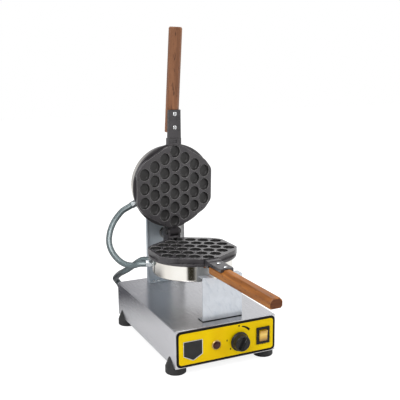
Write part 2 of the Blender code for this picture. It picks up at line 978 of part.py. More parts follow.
def build_front_rest(material, parent):
    front = -rest_front
    top = -rest_top_drop
    low = bracket_seat
    t = bracket_sheet
    outline = [
        (front, low),
        (front + rest_foot_depth, low),
        (front + rest_foot_depth, low + t),
        (front + t, low + t),
        (front + t, top - t),
        (front + rest_top_depth, top - t),
        (front + rest_top_depth, top),
        (front, top),
    ]
    made = object_from(prism(outline, "x", -rest_left, rest_right), "front_rest")
    start = (0, front - cut_overrun, 0)
    end = (0, front + rest_top_depth + cut_overrun, 0)
    cut(made, rod(notch_radius, start, end, round_steps))
    hole = sheet_screw_radius + screw_hole_gap
    for x, y, _ in rest_screw_places():
        cut(made, rod(hole, (x, y, low - cut_overrun), (x, y, low + t + cut_overrun)))
    return finish(made, material, parent)


def build_rear_upright(material, parent):
    half = upright_half_width
    low = bracket_seat
    t = bracket_sheet
    side_front = upright_front - upright_side_depth
    foot_front = upright_front - upright_foot_depth
    outline = [
        (upright_back, low),
        (foot_front, low),
        (foot_front, low + t),
        (side_front, low + upright_gusset),
        (side_front, upright_top),
        (upright_back, upright_top),
    ]
    made = object_from(prism(outline, "x", -half, half), "rear_upright")
    cut(
        made,
        box(
            (-half + t, foot_front - cut_overrun, low + t),
            (half - t, upright_front, upright_top + cut_overrun),
        ),
    )
    hole = bush_radius + seat_gap
    cut(made, rod(hole, (0, upright_front - cut_overrun, 0), (0, upright_back + cut_overrun, 0), turned_steps))
    hole = sheet_screw_radius + screw_hole_gap
    for x, y, _ in upright_screw_places():
        cut(made, rod(hole, (x, y, low - cut_overrun), (x, y, low + t + cut_overrun)))
    return finish(made, material, parent)


# Shaft and bush


def build_bush(bush_material, nut_material, parent):
    front = upright_front - seat_gap - bush_flange
    back = upright_back + bush_tail
    bore = shaft_radius + seat_gap
    length = back - front
    profile = [
        (bore, 0),
        (bush_flange_radius, 0),
        (bush_flange_radius, bush_flange),
        (bush_radius, bush_flange),
        (bush_radius, length),
        (bore, length),
    ]
    made = object_from(turned(profile, (0, front, 0), (0, 1, 0), turned_steps), "shaft_bush")
    finish(made, bush_material, parent)
    place = (0, upright_back + seat_gap, 0)
    nut = nut_shape(bush_nut_radius, bush_radius + seat_gap, place, (0, 1, 0), bush_nut, turned_steps)
    finish(object_from(nut, "bush_nut"), nut_material, parent)


def build_shaft(material, parent):
    start = clevis_back - shaft_socket + seat_gap
    shoulder_start = clevis_back + seat_gap - start
    shoulder_end = upright_front - 2 * seat_gap - bush_flange - start
    length = shaft_end - start
    profile = [
        (0, 0),
        (shaft_radius, 0),
        (shaft_radius, shoulder_start),
        (shaft_shoulder_radius, shoulder_start),
        (shaft_shoulder_radius, shoulder_end),
        (shaft_radius, shoulder_end),
        (shaft_radius, length),
        (0, length),
    ]
    made = object_from(turned(profile, (0, start, 0), (0, 1, 0), turned_steps), "rotor_shaft")
    finish(made, material, parent)
    place = (0, upright_back + bush_tail + seat_gap, 0)
    nut = nut_shape(shaft_nut_radius, shaft_radius + seat_gap, place, (0, 1, 0), shaft_nut, turned_steps)
    finish(object_from(nut, "shaft_nut"), material, parent)


# Cast plates


def face_outline():
    quarter = [
        (face_side, face_side_half),
        (face_corner_across, face_corner_along),
        (face_neck_across, face_neck_along),
    ]
    right_top = quarter
    left_top = [(-x, y) for x, y in reversed(quarter)]
    left_low = [(-x, -y) for x, y in quarter]
    right_low = [(x, -y) for x, y in reversed(quarter)]
    return right_top + left_top + left_low + right_low


def bubble_centres():
    """Seven columns: the middle one is longest, and each one outward has one bubble fewer."""
    centres = []
    middle = columns // 2
    for column in range(-middle, middle + 1):
        count = longest_column - abs(column)
        for row in range(count):
            centres.append((column * column_pitch, (row - (count - 1) / 2) * row_pitch))
    return centres


def bubble_cutters():
    bm = bmesh.new()
    depth = bubble_depth + face_gap
    rings = (
        (1.0, cut_overrun),
        (1.0, -face_gap),
        (bubble_shoulder_share, -depth * bubble_wall_share),
        (bubble_floor_share, -depth),
    )
    for x, y in bubble_centres():
        loops = []
        for share, level in rings:
            loop = []
            for k in range(bubble_steps):
                angle = math.tau * (k + 0.5) / bubble_steps
                across = x + share * bubble_half_width * math.cos(angle)
                along = y + share * bubble_half_height * math.sin(angle)
                loop.append(bm.verts.new((across, along, level)))
            loops.append(loop)
        bm.faces.new(loops[0])
        bm.faces.new(reversed(loops[-1]))
        for upper, lower in zip(loops, loops[1:]):
            for k in range(bubble_steps):
                n = (k + 1) % bubble_steps
                bm.faces.new((upper[k], lower[k], lower[n], upper[n]))
    return bm


def handle_screw_places(arm_end):
    return (arm_end - near_screw_in_arm, arm_end - far_screw_in_arm)


def cast_blank(name, arm_end):
    """Face, flange, step, arm and post, drawn below the parting plane."""
    overlap = flange_depth - face_depth
    made = object_from(prism(face_outline(), "z", -face_gap, -face_depth - overlap / 2), name)
    unite(made, rod(flange_radius, (0, 0, -face_depth), (0, 0, -flange_depth), round_steps))
    unite(made, box((-step_half_width, -step_end, -step_bottom), (step_half_width, -step_start, -step_top)))
    arm = [
        (-arm_root_half_width, -step_end + cut_overrun),
        (arm_root_half_width, -step_end + cut_overrun),
        (arm_tip_half_width, -arm_end),
        (-arm_tip_half_width, -arm_end),
    ]
    unite(made, prism(arm, "z", -arm_bottom, -arm_top))
    post_end = shell_depth - shell_sheet - seat_gap
    unite(made, rod(post_radius, (0, 0, -flange_depth + cut_overrun), (0, 0, -post_end)))
    cut(made, bubble_cutters())
    hole = handle_screw_radius + screw_hole_gap
    for along in handle_screw_places(arm_end):
        start = (0, -along, -arm_bottom - cut_overrun)
        cut(made, rod(hole, start, (0, -along, cut_overrun)))
    hole_end = post_end - sheet_screw_length
    cut(made, rod(sheet_screw_radius + screw_hole_gap, (0, 0, -post_end - cut_overrun), (0, 0, -hole_end)))
    return made


def pin_hole(half):
    reach = half + cut_overrun
    start = (-reach, hinge_back, hinge_rise)
    end = (reach, hinge_back, hinge_rise)
    return rod(pin_radius + seat_gap, start, end)


def build_lower_plate(material, parent):
    made = cast_blank("lower_plate", lower_arm_end)
    half = ear_half_width
    floor = hinge_rise - tongue_radius - seat_gap
    wall_face = hinge_back + tongue_radius + seat_gap
    unite(made, box((-half, step_start, -step_bottom), (half, clevis_back, -step_top)))
    centre = (hinge_back, hinge_rise)
    ear = arc(centre, ear_radius, 90, 180, 6)
    outline = [(clevis_back, -step_bottom / 2), (clevis_back, clevis_wall_top), (wall_face, clevis_wall_top)]
    outline += ear + [(hinge_back - ear_radius, -step_bottom / 2)]
    unite(made, prism(outline, "x", -half, half))
    slot = tongue_half_width + hinge_side_gap
    room = hinge_rise + ear_radius + cut_overrun
    cut(made, box((-slot, hinge_back - ear_radius - cut_overrun, floor), (slot, wall_face, room)))
    cut(made, pin_hole(half))
    socket_start = (0, clevis_back - shaft_socket, 0)
    cut(made, rod(shaft_radius + seat_gap, socket_start, (0, clevis_back + cut_overrun, 0), turned_steps))
    return finish(made, material, parent)


def build_upper_plate(material, parent, place):
    """Drawn below the parting plane as the lower one is, then mirrored above it."""
    made = cast_blank("upper_plate", upper_arm_end)
    centre = (hinge_back, -hinge_rise)
    end = arc(centre, tongue_radius, -90, 90, 10)
    top = -hinge_rise + tongue_radius
    low = -hinge_rise - tongue_radius
    outline = [(tongue_start, low)] + end + [(tongue_start, top)]
    unite(made, prism(outline, "x", -tongue_half_width, tongue_half_width))
    hole = pin_hole(tongue_half_width)
    cut(made, flipped(hole))
    return finish(flip_object(made), material, parent, place)


def build_hinge_pin(material, parent):
    left = -ear_half_width - seat_gap
    right = ear_half_width + seat_gap
    end = right + pin_head + seat_gap
    place = (0, hinge_back, hinge_rise)
    head = prism(hexagon(pin_head_radius), "x", left - pin_head, left + seat_gap)
    bmesh.ops.translate(head, verts=head.verts, vec=place)
    made = object_from(head, "hinge_pin")
    unite(made, rod(pin_radius, (left, hinge_back, hinge_rise), (end, hinge_back, hinge_rise)))
    finish(made, material, parent)
    nut_place = (right, hinge_back, hinge_rise)
    nut = nut_shape(pin_head_radius, pin_radius + seat_gap, nut_place, (1, 0, 0), pin_head)
    finish(object_from(nut, "hinge_nut"), material, parent)


# Shells, insulation, heaters and conduit fittings


def build_shell(name, fittings, upper, material, parent, place):
    outer = shell_radius
    inner = shell_radius - shell_sheet
    corner = arc((outer - shell_corner, -shell_depth + shell_corner), shell_corner, 0, -90, 3)
    inner_corner_radius = shell_corner - shell_sheet
    inner_corner = arc((outer - shell_corner, -shell_depth + shell_corner), inner_corner_radius, -90, 0, 3)
    profile = [(outer, -shell_start)] + corner + [(0, -shell_depth), (0, -shell_depth + shell_sheet)]
    profile += inner_corner + [(inner, -shell_start)]
    made = object_from(turned(profile, (0, 0, 0), (0, 0, 1), round_steps), name)
    for angle in fittings:
        start = shell_point(angle, shell_radius - shell_sheet - 2 * cut_overrun, fitting_depth)
        end = shell_point(angle, shell_radius + cut_overrun, fitting_depth)
        cut(made, rod(fitting_nipple_radius + seat_gap, start, end))
    low = (0, 0, -shell_depth - cut_overrun)
    cut(made, rod(sheet_screw_radius + screw_hole_gap, low, (0, 0, -shell_depth + 2 * cut_overrun)))
    return finish(on_side(upper)(made), material, parent, place)


def build_shell_screw(name, upper, material, parent, place):
    seat = (0, 0, -shell_depth - seat_gap)
    made = screw(
        name, seat, (0, 0, 1), sheet_screw_radius, sheet_screw_length, sheet_screw_head_radius, sheet_screw_head
    )
    return finish(on_side(upper)(made), material, parent, place)


def build_insulation(name, upper, material, parent, place):
    low = -shell_depth + shell_sheet + seat_gap
    disc_radius = insulation_radius - shell_corner
    made = object_from(
        turned(
            [
                (0, low),
                (disc_radius, low),
                (insulation_radius, low + shell_corner),
                (insulation_radius, -insulation_start),
                (0, -insulation_start),
            ],
            (0, 0, 0),
            (0, 0, 1),
            turned_steps,
        ),
        name,
    )
    hole = post_radius + seat_gap
    cut(made, rod(hole, (0, 0, -insulation_start + cut_overrun), (0, 0, low - cut_overrun)))
    return finish(on_side(upper)(made), material, parent, place)


def build_heater(name, upper, material, parent, place):
    """An open ring of sheathed element against the back of the flange."""
    level = -flange_depth - seat_gap - heater_radius
    gap = heater_gap_deg / 2
    bm = bmesh.new()
    loops = []
    for k in range(heater_steps + 1):
        turn = math.radians(gap + (360 - 2 * gap) * k / heater_steps)
        outward = Vector((math.cos(turn), math.sin(turn), 0))
        loop = []
        for n in range(heater_sides):
            around = math.tau * n / heater_sides
            reach = heater_circle + heater_radius * math.cos(around)
            point = outward * reach + Vector((0, 0, level + heater_radius * math.sin(around)))
            loop.append(bm.verts.new(point))
        loops.append(loop)
    bm.faces.new(loops[0])
    bm.faces.new(reversed(loops[-1]))
    for first, second in zip(loops, loops[1:]):
        for n in range(heater_sides):
            m = (n + 1) % heater_sides
            bm.faces.new((first[n], second[n], second[m], first[m]))
    made = object_from(bm, name)
    return finish(on_side(upper)(made), material, parent, place)


def build_fitting(name, angle, upper, material, parent, place):
    outward = shell_point(angle, 1.0, 0.0)
    start = shell_point(angle, shell_radius + 2 * seat_gap, fitting_depth)
    length = fitting_length - 3 * seat_gap
    blank = prism(hexagon(fitting_radius, math.pi / 6), "z", 0.0, length)
    turn = Vector((0, 0, 1)).rotation_difference(outward).to_matrix().to_4x4()
    bmesh.ops.transform(blank, matrix=Matrix.Translation(start) @ turn, verts=blank.verts)
    made = object_from(blank, name)
    inner = shell_point(angle, shell_radius - shell_sheet - fitting_inner_reach, fitting_depth)
    unite(made, rod(fitting_nipple_radius, inner, start + outward * length / 2))
    return finish(on_side(upper)(made), material, parent, place)


# Handles


def handle_section(bottom, bevel, inset):
    """Eight corners of the handle's section, in X and Z."""
    half = handle_half_width - inset
    top = -handle_top - inset
    low = -bottom + inset
    edge = handle_edge
    return [
        (-half + edge, low),
        (half - edge, low),
        (half, low + edge),
        (half, top - bevel),
        (half - bevel, top),
        (-half + bevel, top),
        (-half, top - bevel),
        (-half, low + edge),
    ]


def handle_blank(name, start):
    stations = [
        (start, handle_bottom, handle_root_bevel, 0.0),
        (handle_end - handle_nose, handle_tip_bottom, handle_tip_bevel, 0.0),
        (handle_end, handle_tip_bottom, handle_tip_bevel, handle_nose_inset),
    ]
    bm = bmesh.new()
    loops = []
    for along, bottom, bevel, inset in stations:
        loops.append([bm.verts.new((x, -along, z)) for x, z in handle_section(bottom, bevel, inset)])
    bm.faces.new(loops[0])
    bm.faces.new(reversed(loops[-1]))
    for first, second in zip(loops, loops[1:]):
        for n in range(len(first)):
            m = (n + 1) % len(first)
            bm.faces.new((first[n], second[n], second[m], first[m]))
    return object_from(bm, name)


def build_handle(name, start, arm_end, cant_deg, upper, material, parent, place):
    """A rebated bar: the arm lies in the rebate, and the grip runs on past its end."""
    made = handle_blank(name, start)
    screws = handle_screw_places(arm_end)
    middle = Vector((0, -sum(screws) / 2, 0))
    turn = Matrix.Rotation(math.radians(cant_deg), 4, "Z")
    made.data.transform(Matrix.Translation(middle) @ turn @ Matrix.Translation(-middle))
    reach = handle_half_width + cant_reach + cut_overrun
    cut(made, box((-reach, -arm_end - seat_gap, -handle_seat), (reach, -start + reach, cut_overrun)))
    hole = handle_screw_radius + screw_hole_gap
    for along in screws:
        deep = arm_top + handle_screw_reach + seat_gap
        cut(made, rod(hole, (0, -along, -deep), (0, -along, cut_overrun)))
    return finish(on_side(upper)(made), material, parent, place)


def build_handle_screws(name, arm_end, upper, material, parent, place):
    for end, along in zip(("near", "far"), handle_screw_places(arm_end)):
        made = screw(
            f"{name}_{end}",
            (0, -along, -arm_top + seat_gap),
            (0, 0, -1),
            handle_screw_radius,
            handle_screw_reach,
            handle_screw_head_radius,
            handle_screw_head,
        )
        finish(on_side(upper)(made), material, parent, place)


# Rear wall fittings and wiring block


def wall_nipple(made, across, level):
    """Threaded nipple from a fitting through the rear wall."""
    start = (across, wall_back + 2 * seat_gap, level)
    end = (across, wall_back - sheet - nipple_reach, level)
    return unite(made, rod(nipple_radius, start, end))


def wall_locknut(name, across, level, material, parent):
    place = (across, wall_back - sheet - seat_gap, level)
    nut = nut_shape(locknut_radius, nipple_radius + seat_gap, place, (0, -1, 0), locknut_height)
    return finish(object_from(nut, name), material, parent)


def build_elbow(material, parent):
    level = base_top - elbow_drop
    centre = Vector((elbow_across, elbow_centre_back, level))
    half = Vector((elbow_half, elbow_half, elbow_half))
    low = centre - half
    low.y = wall_back + seat_gap
    made = object_from(box(low, centre + half), "supply_elbow")
    wall_nipple(made, elbow_across, level)
    tilt = math.radians(elbow_mouth_tilt_deg)
    toward = Vector((-math.sin(tilt), 0, math.cos(tilt)))
    end = centre + toward * (elbow_mouth_reach - seat_gap)
    unite(made, rod(elbow_mouth_radius, centre, end, turned_steps))
    finish(made, material, parent)
    wall_locknut("elbow_locknut", elbow_across, level, material, parent)


def build_inlet(body_material, nut_material, parent):
    level = base_top - inlet_drop
    start = wall_back + seat_gap
    profile = [
        (0, 0),
        (inlet_radius, 0),
        (inlet_radius, inlet_collar),
        (inlet_neck_radius, inlet_neck),
        (inlet_tip_radius, inlet_length),
        (0, inlet_length),
    ]
    made = object_from(turned(profile, (inlet_across, start, level), (0, 1, 0), turned_steps), "cable_inlet")
    wall_nipple(made, inlet_across, level)
    bore_start = (inlet_across, wall_back - sheet - nipple_reach - cut_overrun, level)
    bore_end = (inlet_across, start + inlet_length + cut_overrun, level)
    cut(made, rod(inlet_bore, bore_start, bore_end))
    finish(made, body_material, parent)
    wall_locknut("inlet_locknut", inlet_across, level, nut_material, parent)


def build_terminal_block(material, parent):
    low = base_bottom + 2 * (sheet + seat_gap)
    y = wall_back - terminal_forward
    made = object_from(
        box(
            (terminal_across - terminal_half_width, y - terminal_half_depth, low),
            (terminal_across + terminal_half_width, y + terminal_half_depth, low + terminal_height),
        ),
        "terminal_block",
    )
    poles = 3
    pitch = 2 * terminal_half_width / poles
    for k in range(poles):
        x = terminal_across + (k - (poles - 1) / 2) * pitch
        top = low + terminal_height
        cut(made, rod(terminal_hole_radius, (x, y, top - terminal_hole_depth), (x, y, top + cut_overrun)))
    return finish(made, material, parent)


def build():
    clear_scene()
    steel = make_material("brushed stainless steel", (0.62, 0.62, 0.63), 0.34, 1.0)
    bright = make_material("bright stainless shell", (0.72, 0.72, 0.71), 0.16, 1.0)
    zinc = make_material("zinc plated sheet", (0.70, 0.73, 0.78), 0.42, 0.9)
    screw_steel = make_material("bright screws", (0.75, 0.75, 0.75), 0.25, 1.0)
    coating = make_material("dark non-stick coating", (0.045, 0.042, 0.044), 0.48, 0.2)
    wood = make_material("oiled beech", (0.42, 0.20, 0.09), 0.5, 0.0)
    rubber = make_material("black rubber", (0.03, 0.03, 0.032), 0.7, 0.0)
    yellow = make_material("yellow panel", (0.82, 0.62, 0.02), 0.4, 0.0)
    badge = make_material("black badge", (0.03, 0.03, 0.03), 0.4, 0.2)
    plastic = make_material("black plastic", (0.03, 0.03, 0.034), 0.42, 0.0)
    lens = make_material("dark red lens", (0.22, 0.02, 0.02), 0.2, 0.0)
    amber = make_material("amber rocker", (0.85, 0.50, 0.08), 0.25, 0.0)
    conduit = make_material("grey conduit", (0.42, 0.45, 0.44), 0.4, 0.6)
    wool = make_material("mineral fibre board", (0.75, 0.72, 0.62), 0.9, 0.0)
    element = make_material("heater sheath", (0.25, 0.23, 0.22), 0.45, 1.0)
    ivory = make_material("ivory ceramic", (0.80, 0.76, 0.66), 0.4, 0.0)

    stand = frame_empty("stand", None, (0, stand_shift, -floor_level))
    rotor_axis = frame_empty("rotor_axis", stand, (0, 0, 0))
    hinge = (0, hinge_back, hinge_rise)
    lid_hinge = frame_empty("lid_hinge", rotor_axis, hinge, -lid_open_deg)
    from_hinge = tuple(-value for value in hinge)
    knob_axis = frame_empty("knob_axis", stand, (knob_across, panel_front, base_top - knob_drop))
    rocker_place = (switch_across, control_seat, base_top - switch_drop)
    rocker_axis = frame_empty("rocker_axis", stand, rocker_place, rocker_throw_deg)

    build_base_shell(steel, stand)
    build_base_floor(steel, stand)
    build_base_screws(screw_steel, stand)
    for name, centre in foot_centres().items():
        build_foot(name, centre, rubber, stand)
    build_front_panel(yellow, stand)
    build_badge(badge, stand)
    build_lamp(ivory, lens, stand)
    build_thermostat(plastic, screw_steel, stand)
    build_switch(plastic, stand)
    build_front_rest(zinc, stand)
    build_rear_upright(zinc, stand)
    build_bush(steel, screw_steel, stand)
    build_elbow(zinc, stand)
    build_inlet(plastic, screw_steel, stand)
    build_terminal_block(ivory, stand)
    hose("supply_hose", whole_supply_route(), conduit, stand)

    origin = (0, 0, 0)
    build_lower_plate(coating, rotor_axis)
    build_hinge_pin(screw_steel, rotor_axis)
    build_shaft(screw_steel, rotor_axis)
    hose("link_hose", whole_link_route(), conduit, rotor_axis)
    for half, upper, parent, place, start, arm_end, cant, fittings in (
        (
            "lower",
            False,
            rotor_axis,
            origin,
            lower_handle_start,
            lower_arm_end,
            0.0,
            (link_fitting_deg, supply_fitting_deg),
        ),
        (
            "upper",
            True,
            lid_hinge,
            from_hinge,
            upper_handle_start,
            upper_arm_end,
            upper_handle_cant_deg,
            (link_fitting_deg,),
        ),
    ):
        build_shell(half + "_shell", fittings, upper, bright, parent, place)
        build_shell_screw(half + "_shell_screw", upper, screw_steel, parent, place)
        build_insulation(half + "_insulation", upper, wool, parent, place)
        build_heater(half + "_heater", upper, element, parent, place)
        build_handle(half + "_handle", start, arm_end, cant, upper, wood, parent, place)
        build_handle_screws(half + "_handle_screw", arm_end, upper, screw_steel, parent, place)
        build_fitting(half + "_link_fitting", link_fitting_deg, upper, zinc, parent, place)
    build_fitting("supply_fitting", supply_fitting_deg, False, zinc, rotor_axis, origin)
    build_upper_plate(coating, lid_hinge, from_hinge)

    build_knob(plastic, screw_steel, knob_axis)
    build_rocker(amber, rocker_axis)


build()
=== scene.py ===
"""Looks of a rotating bubble waffle maker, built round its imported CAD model.

Everything is in metres in the CAD model's frame, with +Z up and the control panel facing -Y.
"""

import json
import math

import bmesh
import bpy
from mathutils import Matrix, Vector


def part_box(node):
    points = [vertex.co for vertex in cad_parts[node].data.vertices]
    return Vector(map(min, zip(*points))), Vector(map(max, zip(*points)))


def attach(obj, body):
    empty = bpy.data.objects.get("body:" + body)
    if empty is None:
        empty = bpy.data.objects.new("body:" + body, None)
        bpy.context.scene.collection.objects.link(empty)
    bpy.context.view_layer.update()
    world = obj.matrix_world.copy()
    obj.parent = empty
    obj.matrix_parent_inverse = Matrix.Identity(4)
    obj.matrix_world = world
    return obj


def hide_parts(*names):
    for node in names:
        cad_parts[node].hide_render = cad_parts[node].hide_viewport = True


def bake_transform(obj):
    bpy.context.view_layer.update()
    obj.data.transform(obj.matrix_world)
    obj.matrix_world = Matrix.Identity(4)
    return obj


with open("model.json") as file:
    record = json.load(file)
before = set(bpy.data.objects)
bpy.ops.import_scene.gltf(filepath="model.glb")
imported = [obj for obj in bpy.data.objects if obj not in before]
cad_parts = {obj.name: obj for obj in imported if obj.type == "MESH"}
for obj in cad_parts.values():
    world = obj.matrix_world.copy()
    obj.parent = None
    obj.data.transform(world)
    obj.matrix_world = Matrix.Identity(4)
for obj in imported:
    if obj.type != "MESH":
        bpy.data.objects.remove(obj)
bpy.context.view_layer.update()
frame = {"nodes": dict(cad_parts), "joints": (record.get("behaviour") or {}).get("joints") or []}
scene = bpy.context.scene

# Camera: it stands to the left of the controls and a little above the open lid's middle, 1.3 m off,
# where the photograph was taken from, and looks slightly down with a medium long lens.
view_azimuth = -0.43721
view_elevation = 0.19894
view_roll = -0.00867
view_place = Vector((-0.58329, -1.22556, 0.59233))
film_width = 36.0
lens_length = 62.408

towards = Vector(
    (
        math.sin(view_azimuth) * math.cos(view_elevation),
        -math.cos(view_azimuth) * math.cos(view_elevation),
        math.sin(view_elevation),
    )
)
view_right = Vector((0.0, 0.0, 1.0)).cross(towards).normalized()
view_up = towards.cross(view_right)
film_x = math.cos(view_roll) * view_right + math.sin(view_roll) * view_up
film_y = math.cos(view_roll) * view_up - math.sin(view_roll) * view_right
camera = bpy.data.objects.new("camera", bpy.data.cameras.new("camera"))
camera.data.sensor_width = film_width
camera.data.lens = lens_length
camera.matrix_world = Matrix.Translation(view_place) @ Matrix((film_x, film_y, towards)).transposed().to_4x4()
scene.collection.objects.link(camera)
scene.camera = camera


# Conduits: two lengths of 13 mm flexible steel conduit in a tight grey braid, with the heaters' wires
# inside. One links the two cups round the left of the hinge, and the other runs from the rear wall's elbow
# to the lower cup. Both are held in the fittings at their ends.
plate_centre = Vector((0.0, 0.06275, 0.2055))
conduit_radius = 0.0065
conduit_points = 38
conduit_finest = 24
link_route = [
    (-0.08972, 0.12495, 0.07545),
    (-0.10151, 0.12519, 0.06994),
    (-0.1135, 0.1240, 0.0632),
    (-0.1330, 0.1180, 0.0440),
    (-0.1452, 0.1110, 0.0215),
    (-0.1488, 0.1040, -0.0010),
    (-0.1432, 0.0920, -0.0212),
    (-0.1302, 0.0750, -0.0366),
    (-0.1142, 0.0590, -0.0402),
    (-0.10151, 0.04733, -0.0350),
    (-0.08972, 0.04184, -0.0350),
]
supply_route = [
    (-0.07357, 0.06624, -0.0350),
    (-0.08323, 0.07494, -0.0350),
    (-0.0920, 0.0805, -0.0402),
    (-0.1020, 0.0850, -0.0482),
    (-0.1112, 0.0925, -0.0572),
    (-0.1168, 0.1060, -0.0658),
    (-0.1190, 0.1250, -0.0750),
    (-0.1184, 0.1450, -0.0850),
    (-0.1160, 0.1650, -0.0950),
    (-0.1118, 0.1850, -0.1050),
    (-0.10266, 0.2050, -0.11724),
    (-0.09524, 0.2050, -0.12791),
]


def shade(code):
    """Linear colour of an sRGB hex code."""
    parts = [int(code[k : k + 2], 16) / 255 for k in (0, 2, 4)]
    return tuple(p / 12.92 if p <= 0.04045 else ((p + 0.055) / 1.055) ** 2.4 for p in parts)


def new_finish(name, code, roughness, metallic=0.0, **sockets):
    """A Principled material with plain values, and its tree and shader for the pattern to be added to."""
    material = bpy.data.materials.new(name)
    material.use_nodes = True
    shader = material.node_tree.nodes["Principled BSDF"]
    plain = {"Base_Color": (*shade(code), 1.0), "Roughness": roughness, "Metallic": metallic, **sockets}
    for socket, value in plain.items():
        shader.inputs[socket.replace("_", " ")].default_value = value
    return material, material.node_tree, shader


def add(tree, kind, values=None, **settings):
    """A shader node with its settings, its sockets set or linked to what is given."""
    made = tree.nodes.new("ShaderNode" + kind)
    for name, value in settings.items():
        setattr(made, name, value)
    for socket, value in (values or {}).items():
        if isinstance(value, bpy.types.NodeSocket):
            tree.links.new(value, made.inputs[socket])
        else:
            made.inputs[socket].default_value = value
    return made


def grain(tree, scale, stretch=(1.0, 1.0, 1.0), turn_deg=(0.0, 0.0, 0.0), detail=2.0, warp=0.0):
    """Noise on Object coordinates, turned and then stretched along the axes."""
    turn = [math.radians(a) for a in turn_deg]
    place = add(tree, "TexCoord").outputs["Object"]
    turned = add(tree, "Mapping", {"Vector": place, "Rotation": turn}).outputs["Vector"]
    mapped = add(tree, "Mapping", {"Vector": turned, "Scale": stretch}).outputs["Vector"]
    values = {"Vector": mapped, "Scale": scale, "Detail": detail, "Distortion": warp}
    return add(tree, "TexNoise", values).outputs["Fac"]


def ramp(tree, value, *stops):
    """Colours along a value: each stop is its place and its hex code."""
    made = add(tree, "ValToRGB", {"Fac": value})
    elements = made.color_ramp.elements
    while len(elements) < len(stops):
        elements.new(1.0)
    for element, (place, code) in zip(elements, stops):
        element.position = place
        element.color = (*shade(code), 1.0)
    return made.outputs["Color"]


def between(tree, value, low, high, start=0.0, end=1.0):
    """A value from low to high as the given one goes from start to end."""
    values = {"Value": value, "From Min": start, "From Max": end, "To Min": low, "To Max": high}
    return add(tree, "MapRange", values).outputs["Result"]


def blend_colours(tree, share, first, second, kind="MIX"):
    """Two colours or colour sockets mixed by a share."""
    made = add(tree, "Mix", data_type="RGBA", blend_type=kind)
    for socket, value in ((0, share), (6, first), (7, second)):
        if isinstance(value, bpy.types.NodeSocket):
            tree.links.new(value, made.inputs[socket])
        else:
            made.inputs[socket].default_value = value if socket == 0 else (*shade(value), 1.0)
    return made.outputs[2]


def relief(tree, shader, height, depth, strength=1.0):
    bump = add(tree, "Bump", {"Height": height, "Distance": depth, "Strength": strength})
    tree.links.new(bump.outputs["Normal"], shader.inputs["Normal"])


def smooth_route(points, count):
    """Even points on a Catmull-Rom curve through the route's points, with its two ends left straight."""
    knots = [Vector(p) for p in points]
    dense = [knots[0]]
    for a, b, c, d in zip(knots, knots[1:], knots[2:], knots[3:]):
        for k in range(conduit_finest):
            t = k / conduit_finest
            bend = (2 * a - 5 * b + 4 * c - d) * t * t
            dense.append(0.5 * (2 * b + (c - a) * t + bend + (3 * b - a - 3 * c + d) * t**3))
    dense += knots[-2:]
    reach = [0.0]
    for before, after in zip(dense, dense[1:]):
        reach.append(reach[-1] + (after - before).length)
    route, k = [], 0
    for n in range(count):
        goal = reach[-1] * n / (count - 1)
        while k < len(dense) - 2 and reach[k + 1] < goal:
            k += 1
        share = (goal - reach[k]) / (reach[k + 1] - reach[k])
        route.append(dense[k].lerp(dense[k + 1], min(max(share, 0.0), 1.0)))
    return route


def conduit(name, route, finish, node):
    """A mesh tube along the route, capped at both ends."""
    path = [p + plate_centre for p in smooth_route(route, conduit_points)]
    curve = bpy.data.curves.new(name, "CURVE")
    curve.dimensions = "3D"
    curve.bevel_depth = conduit_radius
    curve.bevel_resolution = 8
    curve.use_fill_caps = True
    spline = curve.splines.new("POLY")
    spline.points.add(len(path) - 1)
    for target, point in zip(spline.points, path):
        target.co = (*point, 1.0)
    line = bpy.data.objects.new(name + "_line", curve)
    scene.collection.objects.link(line)
    mesh = bpy.data.meshes.new_from_object(line.evaluated_get(bpy.context.evaluated_depsgraph_get()))
    bpy.data.objects.remove(line, do_unlink=True)
    made = bpy.data.objects.new(name, mesh)
    scene.collection.objects.link(made)
    bm = bmesh.new()
    bm.from_mesh(mesh)
    bmesh.ops.remove_doubles(bm, verts=bm.verts, dist=1e-6)
    bmesh.ops.recalc_face_normals(bm, faces=bm.faces)
    bm.to_mesh(mesh)
    bm.free()
    mesh.materials.clear()
    mesh.materials.append(finish)
    mesh.shade_smooth()
    mesh.set_sharp_from_angle(angle=math.radians(50))
    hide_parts(node)
    return made, path


braid, tree, shader = new_finish("grey conduit braid", "8c9694", 0.36, 0.4)
around = add(tree, "SeparateXYZ", {"Vector": add(tree, "TexCoord").outputs["UV"]})
strands_along = 62.0
strands_round = 12.0
lays = []
for way in (1.0, -1.0):
    pitch = math.tau * strands_along * way
    along = add(tree, "Math", {0: around.outputs["X"], 1: pitch}, operation="MULTIPLY")
    turn = add(tree, "Math", {0: around.outputs["Y"], 1: math.tau * strands_round}, operation="MULTIPLY")
    phase = add(tree, "Math", {0: along.outputs[0], 1: turn.outputs[0]}, operation="ADD")
    lays.append(add(tree, "Math", {0: phase.outputs[0]}, operation="SINE").outputs[0])
woven = add(tree, "Math", {0: lays[0], 1: lays[1]}, operation="MAXIMUM").outputs[0]
tarnish = grain(tree, 60.0, detail=4.0)
raised = between(tree, woven, 0.0, 1.0, -0.4, 1.0)
strand_tone = ramp(tree, raised, (0.0, "283132"), (0.35, "566265"), (1.0, "849296"))
tone = blend_colours(tree, between(tree, tarnish, 0.0, 0.5, 0.4, 0.75), strand_tone, "525e60")
# The braid is painted lighter down the middle that faces the viewer and darker at its grazing edges: a painted
# highlight and painted shade that follow the view.
edge = add(tree, "LayerWeight", {"Blend": 0.5}).outputs["Facing"]
tone = blend_colours(tree, between(tree, edge, 0.7, 0.0, 0.01, 0.06), tone, "d3dee1")
tone = blend_colours(tree, between(tree, edge, 0.0, 0.8, 0.3, 0.65), tone, "242c2d")
tree.links.new(tone, shader.inputs["Base Color"])
tree.links.new(between(tree, tarnish, 0.3, 0.46, 0.3, 0.7), shader.inputs["Roughness"])
relief(tree, shader, woven, 0.0003, 0.6)

